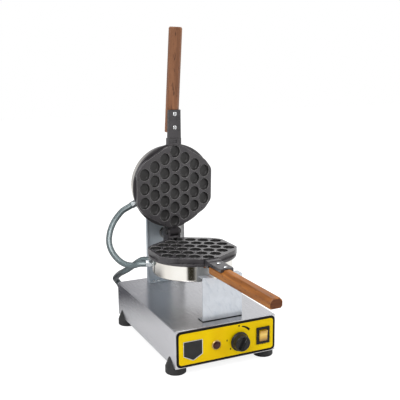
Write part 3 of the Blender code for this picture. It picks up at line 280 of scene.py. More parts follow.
link_conduit, link_path = conduit("link_conduit", link_route, braid, "link_hose")
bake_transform(link_conduit)
supply_conduit, supply_path = conduit("supply_conduit", supply_route, braid, "supply_hose")
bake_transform(supply_conduit)


# Conduit fittings: zinc-plated hexagons screwed into the cups with a ribbed collar that grips the conduit,
# and a cast elbow on the rear wall, held inside the box by a locknut.
fitting_round = 0.0004


def softened(node, width, segments=3, sharp_deg=40.0, keep=()):
    """The CAD node's solid with its edges rounded. Each keep is a plane's point and normal, and what lies on
    the normal's side of it is cut off."""
    bm = bmesh.new()
    bm.from_mesh(frame["nodes"][node].data)
    bmesh.ops.remove_doubles(bm, verts=bm.verts, dist=2e-5)
    for point, normal in keep:
        everything = bm.verts[:] + bm.edges[:] + bm.faces[:]
        bmesh.ops.bisect_plane(bm, geom=everything, plane_co=point, plane_no=normal, clear_outer=True)
        bmesh.ops.holes_fill(bm, edges=[e for e in bm.edges if e.is_boundary], sides=0)
    bmesh.ops.dissolve_limit(bm, angle_limit=math.radians(1.0), verts=bm.verts, edges=bm.edges)
    bmesh.ops.recalc_face_normals(bm, faces=bm.faces)
    return rounded(bm, width, segments, sharp_deg) if width else bm


def rounded(bm, width, segments=3, sharp_deg=40.0, choose=None):
    """Bevels the edges sharper than an angle, or those of them that are chosen."""
    sharp = [e for e in bm.edges if len(e.link_faces) == 2 and e.calc_face_angle() > math.radians(sharp_deg)]
    if choose:
        sharp = [e for e in sharp if choose(e)]
    bmesh.ops.bevel(
        bm,
        geom=sharp,
        offset=width,
        offset_type="OFFSET",
        segments=segments,
        profile=0.5,
        affect="EDGES",
        clamp_overlap=True,
        material=-1,
    )
    return bm


def piece(bm, name, body, finishes, slot, *nodes, smooth_deg=33.0):
    """The finished mesh as an object on its CAD body, smooth but for its sharp edges."""
    mesh = bpy.data.meshes.new(name)
    bm.to_mesh(mesh)
    bm.free()
    for finish in finishes if isinstance(finishes, (list, tuple)) else [finishes]:
        mesh.materials.append(finish)
    mesh.shade_smooth()
    mesh.set_sharp_from_angle(angle=math.radians(smooth_deg))
    made = bpy.data.objects.new(name, mesh)
    scene.collection.objects.link(made)
    even = made.modifiers.new("even shading", "WEIGHTED_NORMAL")
    even.keep_sharp = True
    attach(made, body)
    if nodes:
        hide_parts(*nodes)
    return made


def dress(node, finish):
    """A better finish for a CAD node that stays."""
    made = frame["nodes"][node]
    made.data.materials.clear()
    made.data.materials.append(finish)


plated, tree, shader = new_finish("plated fitting", "b9bfc2", 0.3, 1.0)
dull = grain(tree, 180.0, detail=3.0)
tree.links.new(between(tree, dull, 0.22, 0.42, 0.35, 0.7), shader.inputs["Roughness"])
tree.links.new(ramp(tree, dull, (0.3, "a4aaae"), (0.7, "cfd4d6")), shader.inputs["Base Color"])
relief(tree, shader, grain(tree, 1500.0), 0.00003, 0.4)

for node, body in (
    ("lower_link_fitting", "rotor"),
    ("supply_fitting", "rotor"),
    ("upper_link_fitting", "lid"),
    ("supply_elbow", "base"),
):
    piece(softened(node, fitting_round), node + "_body", body, plated, "fitting_metal", node)
dress("elbow_locknut", plated)


# Base box: one sheet of brushed stainless folded into a top, two sides and a front, bent to a small radius
# at every fold, with lips turned in below the front and the rear wall. The grain runs along its length.
base_low, base_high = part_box("base_shell")
fold_radius = 0.0018
base_sheet = 0.0012
lip_half_width = 0.066
lip_depth = 0.012


def block(low, high):
    """A box between two corners."""
    bm = bmesh.new()
    bmesh.ops.create_cube(bm, size=1.0)
    low, high = Vector(low), Vector(high)
    bmesh.ops.transform(
        bm,
        matrix=Matrix.Translation((low + high) / 2) @ Matrix.Diagonal((*(high - low), 1.0)),
        verts=bm.verts,
    )
    return bm


def brushed_steel(name, low_code, high_code, stretch, roughness=(0.2, 0.36), metallic=1.0):
    """Brushed stainless: fine scratches along one axis, over broad dull and bright patches."""
    material, tree, shader = new_finish(name, high_code, roughness[0], metallic)
    scratches = grain(tree, 1.0, stretch, detail=4.0)
    patches = grain(tree, 9.0, detail=3.0)
    both = add(tree, "Math", {0: scratches, 1: patches}, operation="ADD").outputs[0]
    tone = ramp(tree, between(tree, both, 0.0, 1.0, 0.7, 1.35), (0.0, low_code), (1.0, high_code))
    tree.links.new(tone, shader.inputs["Base Color"])
    tree.links.new(between(tree, both, *roughness, 0.7, 1.35), shader.inputs["Roughness"])
    relief(tree, shader, scratches, 0.00003, 0.15)
    return material


base_steel = brushed_steel("brushed stainless box", "bdbdc1", "cacace", (2400.0, 16.0, 2400.0), (0.22, 0.3))
bm = block(base_low, base_high)
rounded(bm, fold_radius, 4, choose=lambda e: max(v.co.z for v in e.verts) > base_low.z + fold_radius)
bmesh.ops.delete(bm, geom=[f for f in bm.faces if f.normal.z < -0.9], context="FACES_ONLY")
box_skin = piece(bm, "base_box", "base", base_steel, "base_steel", "base_shell")
wall = box_skin.modifiers.new("sheet", "SOLIDIFY")
wall.thickness = base_sheet
wall.offset = -1.0
wall.use_even_offset = True
box_skin.modifiers.move(1, 0)
for side, near, far in (
    ("front", base_low.y + base_sheet, base_low.y + lip_depth),
    ("rear", base_high.y - lip_depth, base_high.y - base_sheet),
):
    lip = block((-lip_half_width, near, base_low.z), (lip_half_width, far, base_low.z + base_sheet))
    piece(rounded(lip, 0.0003), f"base_lip_{side}", "base", base_steel, "base_steel")
dress("base_floor", base_steel)


# Feet: moulded rubber cones, pushed up over the lower edge of the side walls, which stand in a slot in each
# cone.
foot_radius = 0.0206
foot_rim = 0.0128
foot_waist = 0.0200
foot_top_radius = 0.0095
foot_centre_inset = 0.0119
slot_room = 0.0003


def eased(points, radius, steps=4):
    """A profile with its inner corners rounded."""
    out = [tuple(points[0])]
    for before, corner, after in zip(points, points[1:], points[2:]):
        a, c, b = Vector(before), Vector(corner), Vector(after)
        reach = min(radius, (a - c).length * 0.45, (b - c).length * 0.45)
        start = c + (a - c).normalized() * reach
        end = c + (b - c).normalized() * reach
        for k in range(steps + 1):
            t = k / steps
            out.append(tuple((1 - t) ** 2 * start + 2 * t * (1 - t) * c + t * t * end))
    return out + [tuple(points[-1])]


def spun(profile, place, direction, steps=72, ring=False):
    """A profile of (radius, height) points spun about an axis through place. A ring's profile is closed."""
    bm = bmesh.new()
    points = [bm.verts.new((radius, 0.0, height)) for radius, height in profile]
    pairs = list(zip(points, points[1:])) + ([(points[-1], points[0])] if ring else [])
    edges = [bm.edges.new(pair) for pair in pairs]
    bmesh.ops.spin(
        bm, geom=points + edges, cent=(0, 0, 0), axis=(0, 0, 1), angle=math.tau, steps=steps, use_merge=True
    )
    bmesh.ops.remove_doubles(bm, verts=bm.verts, dist=1e-6)
    bmesh.ops.dissolve_degenerate(bm, edges=bm.edges, dist=1e-7)
    bmesh.ops.recalc_face_normals(bm, faces=bm.faces)
    turn = Vector((0, 0, 1)).rotation_difference(Vector(direction)).to_matrix().to_4x4()
    bmesh.ops.transform(bm, matrix=Matrix.Translation(place) @ turn, verts=bm.verts)
    return bm


def combine(bm, tool, operation):
    """Boolean of one shape with another, which is used up."""
    objects = []
    for shape in (bm, tool):
        mesh = bpy.data.meshes.new("shape")
        shape.to_mesh(mesh)
        shape.free()
        made = bpy.data.objects.new("shape", mesh)
        scene.collection.objects.link(made)
        objects.append(made)
    step = objects[0].modifiers.new("step", "BOOLEAN")
    step.operation = operation
    step.object = objects[1]
    step.solver = "EXACT"
    result = bpy.data.meshes.new_from_object(objects[0].evaluated_get(bpy.context.evaluated_depsgraph_get()))
    for made in objects:
        bpy.data.objects.remove(made, do_unlink=True)
    bm = bmesh.new()
    bm.from_mesh(result)
    bmesh.ops.remove_doubles(bm, verts=bm.verts, dist=1e-6)
    return bm


rubber, tree, shader = new_finish("black foot rubber", "232325", 0.62)
dusty = grain(tree, 45.0, detail=4.0)
tree.links.new(ramp(tree, dusty, (0.35, "1d1d1f"), (0.75, "2d2c2d")), shader.inputs["Base Color"])
tree.links.new(between(tree, dusty, 0.5, 0.7, 0.3, 0.7), shader.inputs["Roughness"])
relief(tree, shader, grain(tree, 1800.0, detail=3.0), 0.00006, 0.5)

for node in ("foot_front_left", "foot_front_right", "foot_rear_left", "foot_rear_right"):
    low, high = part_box(node)
    side = 1 if "right" in node else -1
    centre = Vector((side * (base_high.x - foot_centre_inset), (low.y + high.y) / 2, 0.0))
    top = high.z
    profile = [
        (0.0, 0.0),
        (foot_radius - 0.001, 0.0),
        (foot_radius, 0.001),
        (foot_radius, foot_rim),
        (foot_waist, foot_rim + 0.0012),
        (foot_top_radius, top),
        (0.0, top),
    ]
    cone = spun(eased(profile, 0.0022), centre, (0, 0, 1))
    across = sorted((side * (base_high.x - base_sheet - slot_room), side * (base_high.x + slot_room)))
    gap = block(
        (across[0], centre.y - 2 * foot_radius, base_low.z - slot_room),
        (across[1], centre.y + 2 * foot_radius, top + foot_radius),
    )
    piece(combine(cone, gap, "DIFFERENCE"), node + "_rubber", "base", rubber, "rubber", node)


# Control panel: a printed sheet on the box's front, black at its edge and yellow within, rounded at the
# corners. A dot marks off above the knob, a tapered arc shows which way it turns to heat up, and two ticks
# mark its range.
panel_low, panel_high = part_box("front_panel")
panel_corner = 0.0092
field_border = 0.0047
field_corner = 0.0056
ink_height = 0.00012
facing_front = Matrix.Rotation(math.radians(90), 4, "X")


def flat_shape(points, thickness, place, corner=0.0, corner_steps=6, edge=0.0):
    """An outline in X and Z, pulled forward into a plate, with rounded corners and front edge."""
    bm = bmesh.new()
    face = bm.faces.new([bm.verts.new((x, z, 0.0)) for x, z in points])
    if corner:
        bmesh.ops.bevel(
            bm,
            geom=bm.verts[:],
            offset=corner,
            offset_type="OFFSET",
            segments=corner_steps,
            profile=0.5,
            affect="VERTICES",
            clamp_overlap=True,
            material=-1,
        )
    pulled = bmesh.ops.extrude_face_region(bm, geom=bm.faces[:])
    moved = [item for item in pulled["geom"] if isinstance(item, bmesh.types.BMVert)]
    bmesh.ops.translate(bm, verts=moved, vec=(0.0, 0.0, thickness))
    bmesh.ops.recalc_face_normals(bm, faces=bm.faces)
    if edge:
        rounded(bm, edge, 2, choose=lambda e: all(v.co.z > thickness * 0.9 for v in e.verts))
    bmesh.ops.transform(bm, matrix=Matrix.Translation(place) @ facing_front, verts=bm.verts)
    return bm


def rectangle(low, high):
    return [(low[0], low[1]), (high[0], low[1]), (high[0], high[1]), (low[0], high[1])]


black_print, tree, shader = new_finish("black print", "100f0d", 0.5, Specular_IOR_Level=0.12)
tree.links.new(between(tree, grain(tree, 120.0, detail=3.0), 0.42, 0.58), shader.inputs["Roughness"])
yellow_print, tree, shader = new_finish("yellow print", "e2bc00", 0.5, Specular_IOR_Level=0.08)
uneven = grain(tree, 14.0, detail=2.0)
tree.links.new(ramp(tree, uneven, (0.3, "dfb600"), (0.7, "eaca00")), shader.inputs["Base Color"])
tree.links.new(between(tree, uneven, 0.42, 0.52), shader.inputs["Roughness"])
relief(tree, shader, grain(tree, 900.0, detail=2.0), 0.00003, 0.3)

panel_back = panel_high.y
panel_face = panel_low.y
outline = rectangle((panel_low.x, panel_low.z), (panel_high.x, panel_high.z))
piece(
    flat_shape(outline, panel_back - panel_face, (0.0, panel_back, 0.0), panel_corner, edge=0.0003),
    "panel_sheet",
    "base",
    black_print,
    "panel_yellow",
    "front_panel",
)
field = rectangle(
    (panel_low.x + field_border, panel_low.z + field_border),
    (panel_high.x - field_border, panel_high.z - field_border),
)
piece(
    flat_shape(field, ink_height, (0.0, panel_face, 0.0), field_corner),
    "panel_field",
    "base",
    yellow_print,
    "panel_yellow",
)

knob_joint = next(j for j in frame["joints"] if j["name"] == "knob_turn")
knob_centre = Vector(knob_joint["pos_m"])
ink_face = panel_face - ink_height


def dial_point(radius, clockwise_deg):
    angle = math.radians(clockwise_deg)
    return (knob_centre.x + radius * math.sin(angle), knob_centre.z + radius * math.cos(angle))


arc_steps = 12
dot_radius = 0.0018
tick_half_width = 0.0012
tick_half_height = 0.0017
arc_from, arc_to = 12.0, 50.0
arc_shares = [k / arc_steps for k in range(arc_steps + 1)]
outer = [dial_point(0.0310 + 0.0012 * k, arc_from + (arc_to - arc_from) * k) for k in arc_shares]
inner = [dial_point(0.0286 - 0.0010 * k, arc_from + (arc_to - arc_from) * k) for k in arc_shares]
marks = {"dial_arc": outer + inner[::-1]}
dot = dial_point(0.031, 0.0)
turns = [math.tau * k / 16 for k in range(16)]
marks["dial_off_dot"] = [(dot[0] + dot_radius * math.sin(a), dot[1] + dot_radius * math.cos(a)) for a in turns]
for name, (x, z) in {"dial_tick_low": (0.0071, 0.0382), "dial_tick_high": (-0.0005, 0.0569)}.items():
    low = (x - tick_half_width, z - tick_half_height)
    marks[name] = rectangle(low, (x + tick_half_width, z + tick_half_height))
for name, points in marks.items():
    piece(flat_shape(points, ink_height, (0.0, ink_face, 0.0)), name, "base", black_print, "badge")


# Badge: a shield of thin pressed metal glued to the panel, black with a bright rim. It carries no name or
# picture.
badge_low, badge_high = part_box("badge_plate")
badge_rim = 0.0011
badge_shoulder = 0.0107

badge_silver, tree, shader = new_finish("badge rim", "c9ccd0", 0.28, 1.0)
tree.links.new(between(tree, grain(tree, 300.0), 0.2, 0.36), shader.inputs["Roughness"])
badge_black, tree, shader = new_finish("badge enamel", "18181a", 0.34, Specular_IOR_Level=0.35)
enamel = grain(tree, 60.0, detail=3.0)
tree.links.new(ramp(tree, enamel, (0.3, "131315"), (0.7, "202023")), shader.inputs["Base Color"])
relief(tree, shader, grain(tree, 400.0, detail=2.0), 0.00003, 0.3)

middle = (badge_low.x + badge_high.x) / 2
shield = [
    (badge_low.x, badge_high.z),
    (badge_low.x, badge_low.z + badge_shoulder),
    (middle, badge_low.z),
    (badge_high.x, badge_low.z + badge_shoulder),
    (badge_high.x, badge_high.z),
]
bm = flat_shape(shield, badge_high.y - badge_low.y, (0.0, badge_high.y, 0.0), 0.0012, 4)
front = [f for f in bm.faces if f.normal.y < -0.9]
rim = bmesh.ops.inset_region(bm, faces=front, thickness=badge_rim, use_even_offset=True)
face = [f for f in bm.faces if f.normal.y < -0.9 and f not in rim["faces"]]
bmesh.ops.translate(bm, verts=list({v for f in face for v in f.verts}), vec=(0.0, 0.0003, 0.0))
for f in face:
    f.material_index = 1
piece(bm, "badge_shield", "base", [badge_silver, badge_black], "badge", "badge_plate")


# Pilot lamp: a domed dark red lens in a pale plated bezel, pushed through the panel and held by its own
# barrel.
lamp_low, lamp_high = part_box("lamp_bezel")
lens_low, lens_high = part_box("lamp_lens")
lamp_centre = Vector(((lamp_low.x + lamp_high.x) / 2, 0.0, (lamp_low.z + lamp_high.z) / 2))
bezel_radius = (lamp_high.x - lamp_low.x) / 2
lens_radius = (lens_high.x - lens_low.x) / 2
lamp_seat = panel_face - 0.0003
bezel_height = lamp_seat - lamp_low.y
lens_height = lamp_seat - lens_low.y
barrel_radius = 0.007
barrel_depth = 0.020

bezel_ring, tree, shader = new_finish("pale lamp ring", "b89c62", 0.32, 0.6)
tree.links.new(between(tree, grain(tree, 250.0), 0.22, 0.4), shader.inputs["Roughness"])
lens_red, tree, shader = new_finish(
    "dark red lens", "3a0b08", 0.18, Coat_Weight=0.1, Coat_Roughness=0.06, Specular_IOR_Level=0.3
)
tree.links.new(ramp(tree, grain(tree, 220.0), (0.3, "2c0705"), (0.7, "470f0a")), shader.inputs["Base Color"])

place = (lamp_centre.x, lamp_seat, lamp_centre.z)
profile = [
    (0.0, -barrel_depth),
    (barrel_radius, -barrel_depth),
    (barrel_radius, 0.0),
    (bezel_radius, 0.0),
    (bezel_radius, bezel_height * 0.5),
    (bezel_radius - bezel_height * 0.5, bezel_height),
    (lens_radius + 0.0003, bezel_height),
    (lens_radius + 0.0003, 0.0006),
    (0.0, 0.0006),
]
ring = spun(eased(profile, 0.0006), place, (0, -1, 0))
piece(ring, "lamp_ring", "base", bezel_ring, "bright_trim", "lamp_bezel")
dome = [(0.0, 0.0009), (lens_radius, 0.0009), (lens_radius, lens_height * 0.45)]
for k in range(1, 9):
    angle = math.radians(90 * k / 8)
    dome.append((lens_radius * math.cos(angle), lens_height * (0.45 + 0.55 * math.sin(angle))))
piece(spun(dome, place, (0, -1, 0)), "lamp_dome", "base", lens_red, "lamp_red", "lamp_lens")


# Thermostat: a black moulded knob with a flared skirt and a raised grip bar with a pale pointer line. Its
# spindle runs through the panel into the thermostat, which is held behind the wall by a thin nut.
knob_low, knob_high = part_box("thermostat_knob")
knob_radius = 0.0195
knob_body_radius = 0.0172
knob_height = 0.0165
knob_skirt = 0.0045
grip_width = 0.0075
grip_height = 0.0035
grip_tilt = math.radians(25)
pointer_width = 0.0012

knob_black, tree, shader = new_finish("black knob moulding", "161617", 0.42, Specular_IOR_Level=0.3)
worn = grain(tree, 90.0, detail=4.0)
tree.links.new(ramp(tree, worn, (0.35, "1a1a1b"), (0.75, "262628")), shader.inputs["Base Color"])
tree.links.new(between(tree, worn, 0.3, 0.48, 0.3, 0.7), shader.inputs["Roughness"])
relief(tree, shader, grain(tree, 2200.0, detail=2.0), 0.00004, 0.4)
grip_black, tree, shader = new_finish("rubbed black grip", "0c0c0d", 0.45, Specular_IOR_Level=0.2)
tree.links.new(between(tree, grain(tree, 90.0, detail=4.0), 0.4, 0.55), shader.inputs["Roughness"])
pointer_paint, tree, shader = new_finish("pointer line", "46464a", 0.5)
tree.links.new(ramp(tree, grain(tree, 500.0), (0.3, "38383c"), (0.7, "545458")), shader.inputs["Base Color"])

knob_back = knob_high.y
profile = [
    (0.0, 0.0),
    (knob_radius, 0.0),
    (knob_radius, knob_skirt * 0.6),
    (knob_body_radius, knob_skirt),
    (knob_body_radius - 0.0012, knob_height - 0.0018),
    (knob_body_radius - 0.0030, knob_height),
    (knob_body_radius - 0.0042, knob_height),
    (knob_body_radius - 0.0048, knob_height - 0.0008),
    (0.0, knob_height - 0.0008),
]
body = spun(eased(profile, 0.0012), (0, 0, 0), (0, -1, 0), steps=96)
reach = 0.0128
bar = block(
    (-grip_width / 2, -knob_height - grip_height, -reach),
    (grip_width / 2, -knob_height + 0.003, reach),
)
rounded(bar, 0.0011, 3)
turn = Matrix.Rotation(grip_tilt, 4, "Y")
bmesh.ops.transform(bar, matrix=turn, verts=bar.verts)
knob = combine(body, bar, "UNION")
for f in knob.faces:
    f.material_index = int(f.calc_center_median().y < -knob_height - 0.0001)
knob_place = Matrix.Translation((knob_centre.x, knob_back, knob_centre.z))
bmesh.ops.transform(knob, matrix=knob_place, verts=knob.verts)
piece(knob, "knob_moulding", "knob", [knob_black, grip_black], "knob_plastic", "thermostat_knob")
line = block(
    (-pointer_width / 2, -knob_height - grip_height - 0.00012, reach * 0.35),
    (pointer_width / 2, -knob_height - grip_height + 0.0004, reach * 0.93),
)
bmesh.ops.transform(line, matrix=knob_place @ turn, verts=line.verts)
piece(line, "knob_pointer", "knob", pointer_paint, "knob_plastic")
dress("thermostat_spindle", plated)
dress("thermostat_body", knob_black)
dress("thermostat_nut", plated)


# Rocker switch: a glossy black snap-in frame with an amber rocker that glows while it is on.
switch_black, tree, shader = new_finish("black switch frame", "12100d", 0.38, Specular_IOR_Level=0.25)
tree.links.new(between(tree, grain(tree, 200.0, detail=3.0), 0.2, 0.34), shader.inputs["Roughness"])
amber, tree, shader = new_finish(
    "lit amber rocker", "e0a83a", 0.2, Coat_Weight=0.5, Coat_Roughness=0.08, Emission_Strength=0.12
)
rocker_low, rocker_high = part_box("switch_rocker")
point = add(tree, "SeparateXYZ", {"Vector": add(tree, "TexCoord").outputs["Object"]})
from_lamp = add(
    tree,
    "Math",
    {0: point.outputs["Z"], 1: rocker_low.z + 0.6 * (rocker_high.z - rocker_low.z)},
    operation="SUBTRACT",
)
far = add(tree, "Math", {0: from_lamp.outputs[0]}, operation="ABSOLUTE").outputs[0]
faded = between(tree, far, 0.0, 1.0, 0.0, 0.013)
glow = ramp(tree, faded, (0.0, "dfbd5c"), (0.45, "c99c38"), (1.0, "74500f"))
tree.links.new(glow, shader.inputs["Base Color"])
tree.links.new(glow, shader.inputs["Emission Color"])

bm = softened("switch_housing", 0.0007)
piece(bm, "switch_frame", "base", switch_black, "black_plastic", "switch_housing")
piece(softened("switch_rocker", 0.0008), "rocker_cap", "rocker", amber, "rocker_amber", "switch_rocker")


# Front rest: zinc-plated sheet folded back at its top and foot, with a round notch that the lower handle
# lies in. It is scuffed and finely scratched by the handles.
bracket_round = 0.0005
zinc, tree, shader = new_finish("scuffed zinc sheet", "c9ced6", 0.34, 0.9)
clouds = grain(tree, 26.0, detail=8.0, warp=1.5)
scuffs = grain(tree, 1.0, (240.0, 60.0, 60.0), (0.0, 28.0, 0.0), detail=6.0)
streaks = between(tree, scuffs, 0.0, 1.0, 0.55, 0.78)
tone = ramp(tree, clouds, (0.3, "c2c7ce"), (0.5, "ced3da"), (0.72, "d9dde3"))
tone = blend_colours(tree, streaks, tone, "b4bcc6")
height = add(tree, "SeparateXYZ", {"Vector": add(tree, "TexCoord").outputs["Object"]}).outputs["Z"]
rest_low, rest_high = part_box("front_rest")
# A thin dark band along the foot of the front: painted shade standing in for the shadow line where the sheet
# meets the box.
painted_foot_shade = between(tree, height, 1.0, 0.0, rest_low.z + 0.0010, rest_low.z + 0.0018)
tree.links.new(blend_colours(tree, painted_foot_shade, tone, "26282b"), shader.inputs["Base Color"])
tree.links.new(between(tree, clouds, 0.28, 0.5, 0.3, 0.7), shader.inputs["Roughness"])
relief(tree, shader, scuffs, 0.00005, 0.35)
fold_outside = 0.0018


def rest_fold(edge):
    """The long outer edges at the top of the front, where the sheet is bent back."""
    return all(abs(v.co.z - rest_high.z) < 0.0001 and abs(v.co.y - rest_low.y) < 0.0001 for v in edge.verts)


bm = softened("front_rest", 0.0)
rounded(bm, fold_outside, 4, choose=rest_fold)
piece(rounded(bm, bracket_round, 2, 60.0), "handle_rest", "base", zinc, "zinc_sheet", "front_rest")


# Rear upright: a channel of the same sheet, but smoother, with gussets down to its foot. The iron's shaft
# turns in its bush.
upward = (1500.0, 1500.0, 10.0)
upright_steel = brushed_steel("upright sheet", "a0a9b2", "b9c1c9", upward, (0.36, 0.48), metallic=0.5)
tree = upright_steel.node_tree
shader = tree.nodes["Principled BSDF"]
point = add(tree, "SeparateXYZ", {"Vector": add(tree, "TexCoord").outputs["Object"]}).outputs
upright_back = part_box("rear_upright")[1].y
# Towards its right side the front face is painted pale and less metallic: a painted highlight.
to_right = between(tree, point["X"], 0.0, 1.0, 0.008, 0.020)
to_front = between(tree, point["Y"], 1.0, 0.0, upright_back - 0.0010, upright_back - 0.0005)
painted_highlight_share = add(tree, "Math", {0: to_right, 1: to_front}, operation="MULTIPLY").outputs[0]
tone = shader.inputs["Base Color"].links[0].from_socket
tree.links.new(blend_colours(tree, painted_highlight_share, tone, "f2f3f4"), shader.inputs["Base Color"])
tree.links.new(between(tree, painted_highlight_share, 0.5, 0.1), shader.inputs["Metallic"])
bm = softened("rear_upright", bracket_round)
piece(bm, "shaft_upright", "base", upright_steel, "zinc_sheet", "rear_upright")


# Screws: bright plated pan heads with a cross recess. They hold the brackets and the floor to the box, each
# cup to the post behind its plate, and the handles to the arms.
bright_screw, tree, shader = new_finish("bright screw", "d2d4d6", 0.2, 1.0)
tree.links.new(between(tree, grain(tree, 800.0, detail=2.0), 0.14, 0.32), shader.inputs["Roughness"])
hinge_place = Vector((0.0, 0.1045, 0.0118))
lid_open = math.radians(87.5)
drawn_closed = Matrix.Translation(plate_centre)
lid_swing = (
    Matrix.Translation(hinge_place) @ Matrix.Rotation(-lid_open, 4, "X") @ Matrix.Translation(-hinge_place)
)
halves = {
    "lower": ("rotor", drawn_closed),
    "upper": ("lid", drawn_closed @ lid_swing @ Matrix.Diagonal((1.0, 1.0, -1.0, 1.0))),
}


def in_half(bm, half):
    """Moves a shape drawn below the parting plane to the lower or the upper half of the iron."""
    bmesh.ops.transform(bm, matrix=halves[half][1], verts=bm.verts)
    if half == "upper":
        bmesh.ops.reverse_faces(bm, faces=bm.faces)
    return bm


def pan_screw(place, into, head_radius, head, shank_radius, length, turn_deg=0.0):
    """A screw with the underside of its head at the place."""
    profile = [
        (0.0, -length),
        (shank_radius, -length + shank_radius),
        (shank_radius, 0.0),
        (head_radius, 0.0),
        (head_radius, head * 0.4),
        (head_radius * 0.6, head * 0.95),
        (0.0, head),
    ]
    bm = spun(eased(profile, head * 0.3), (0, 0, 0), (0, 0, 1), steps=32)
    half, thin = head_radius * 0.55, head_radius * 0.13
    cross = combine(
        block((-half, -thin, head * 0.35), (half, thin, head * 2)),
        block((-thin, -half, head * 0.35), (thin, half, head * 2)),
        "UNION",
    )
    bm = combine(bm, cross, "DIFFERENCE")
    turn = Vector((0, 0, -1)).rotation_difference(Vector(into)).to_matrix().to_4x4()
    spin = Matrix.Rotation(math.radians(turn_deg), 4, "Z")
    bmesh.ops.transform(bm, matrix=Matrix.Translation(place) @ turn @ spin, verts=bm.verts)
    return bm


sheet_head = 0.0022
handle_screws = {"lower": (0.1225, 0.1515), "upper": (0.1300, 0.1590)}
down = [("upright_screw_1", 12), ("upright_screw_2", 71), ("upright_screw_3", 34), ("upright_screw_4", 55)]
down += [("rest_screw_1", 8), ("rest_screw_2", 49)]
up = [("floor_screw_1", 22), ("floor_screw_2", 63), ("floor_screw_3", 40), ("floor_screw_4", 5)]
for node, turn_deg in down + up:
    low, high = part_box(node)
    into = 1 if (node, turn_deg) in up else -1
    seat = low.z + sheet_head if into > 0 else high.z - sheet_head
    place = ((low.x + high.x) / 2, (low.y + high.y) / 2, seat)
    bm = pan_screw(place, (0, 0, into), 0.004, sheet_head, 0.002, 0.008, turn_deg)
    piece(bm, node + "_head", "base", bright_screw, "screw_steel", node)
for half, (body, _) in halves.items():
    bm = pan_screw((0, 0, -0.0503), (0, 0, 1), 0.004, sheet_head, 0.002, 0.008, 20.0)
    node = f"{half}_shell_screw"
    piece(in_half(bm, half), f"{node}_head", body, bright_screw, "screw_steel", node)
    for end, along, turn_deg in zip(("near", "far"), handle_screws[half], (12.0, 52.0)):
        bm = pan_screw((0, -along, -0.0025), (0, 0, -1), 0.0046, 0.0022, 0.0022, 0.021, turn_deg)
        node = f"{half}_handle_screw_{end}"
        piece(in_half(bm, half), node + "_head", body, bright_screw, "screw_steel", node)


# Cast plates: aluminium castings under a matt black non-stick coating. A twelve-sided face with thirty
# bubbles stands on a round flange, with an arm for the handle in front and the hinge behind. The coating is
# coloured lighter on the edges and the bubbles' rims, partly as rubbed wear and partly as a painted highlight,
# and the lower plate's bubbles are painted near black as painted shade.
face_outline = [(0.088, 0.036), (0.072, 0.057), (0.016, 0.0905)]
face_gap = 0.0002
face_depth = 0.0105
flange_radius = 0.093
flange_depth = 0.0155
face_edge = 0.0012
face_corner = 0.006
column_pitch = 0.0234
row_pitch = 0.0312
bubble_half_width = 0.0118
bubble_half_height = 0.0136
bubble_depth = 0.0092
# Rings down each bubble: the share of its outline, the share of its depth, and its finish, where 1 is the
# lighter edge finish with its painted highlight and 2 the bubbles' own.
bubble_rings = [
    (1.0, 0.015, 1),
    (0.985, 0.05, 1),
    (0.97, 0.15, 2),
    (0.955, 0.45, 2),
    (0.91, 0.72, 2),
    (0.82, 0.88, 2),
    (0.66, 0.96, 2),
    (0.40, 1.0, 2),
]
bubble_sides = 32


def coating(name, dark, light, roughness):
    """Matt black non-stick coating: fine orange-peel over cast metal, with faint brown stains."""
    material, tree, shader = new_finish(name, dark, roughness, 0.1, Specular_IOR_Level=0.6)
    mottled = grain(tree, 55.0, detail=5.0)
    stain = grain(tree, 13.0, detail=3.0)
    tone = ramp(tree, mottled, (0.3, dark), (0.72, light))
    tone = blend_colours(tree, between(tree, stain, 0.0, 0.3, 0.5, 0.75), tone, "3d3b38")
    tree.links.new(tone, shader.inputs["Base Color"])
    dull = between(tree, mottled, roughness - 0.08, roughness + 0.1, 0.3, 0.7)
    tree.links.new(dull, shader.inputs["Roughness"])
    relief(tree, shader, grain(tree, 1100.0, detail=4.0), 0.00009, 0.5)
    return material


plate_black = coating("black non-stick coating", "363437", "464346", 0.32)
# The edge finish is much lighter than the face: rubbed wear, with a painted highlight on the edges and rims.
worn_and_highlit_edge = coating("rubbed and painted-highlight edge of the coating", "7b7979", "9a9898", 0.3)
pit_black = coating("coating in the bubbles", "2b2a2b", "3a3939", 0.42)
wiped_black = coating("wiped coating", "343235", "444144", 0.22)
# The lower plate's bubbles get a near-black finish: painted shade in the hollows.
shaded_pit_black = coating("coating in the bubbles with painted shade", "1b1a1b", "272627", 0.4)
plate_finishes = {
    "lower": [wiped_black, worn_and_highlit_edge, shaded_pit_black, plate_black],
    "upper": [plate_black, worn_and_highlit_edge, pit_black, plate_black],
}


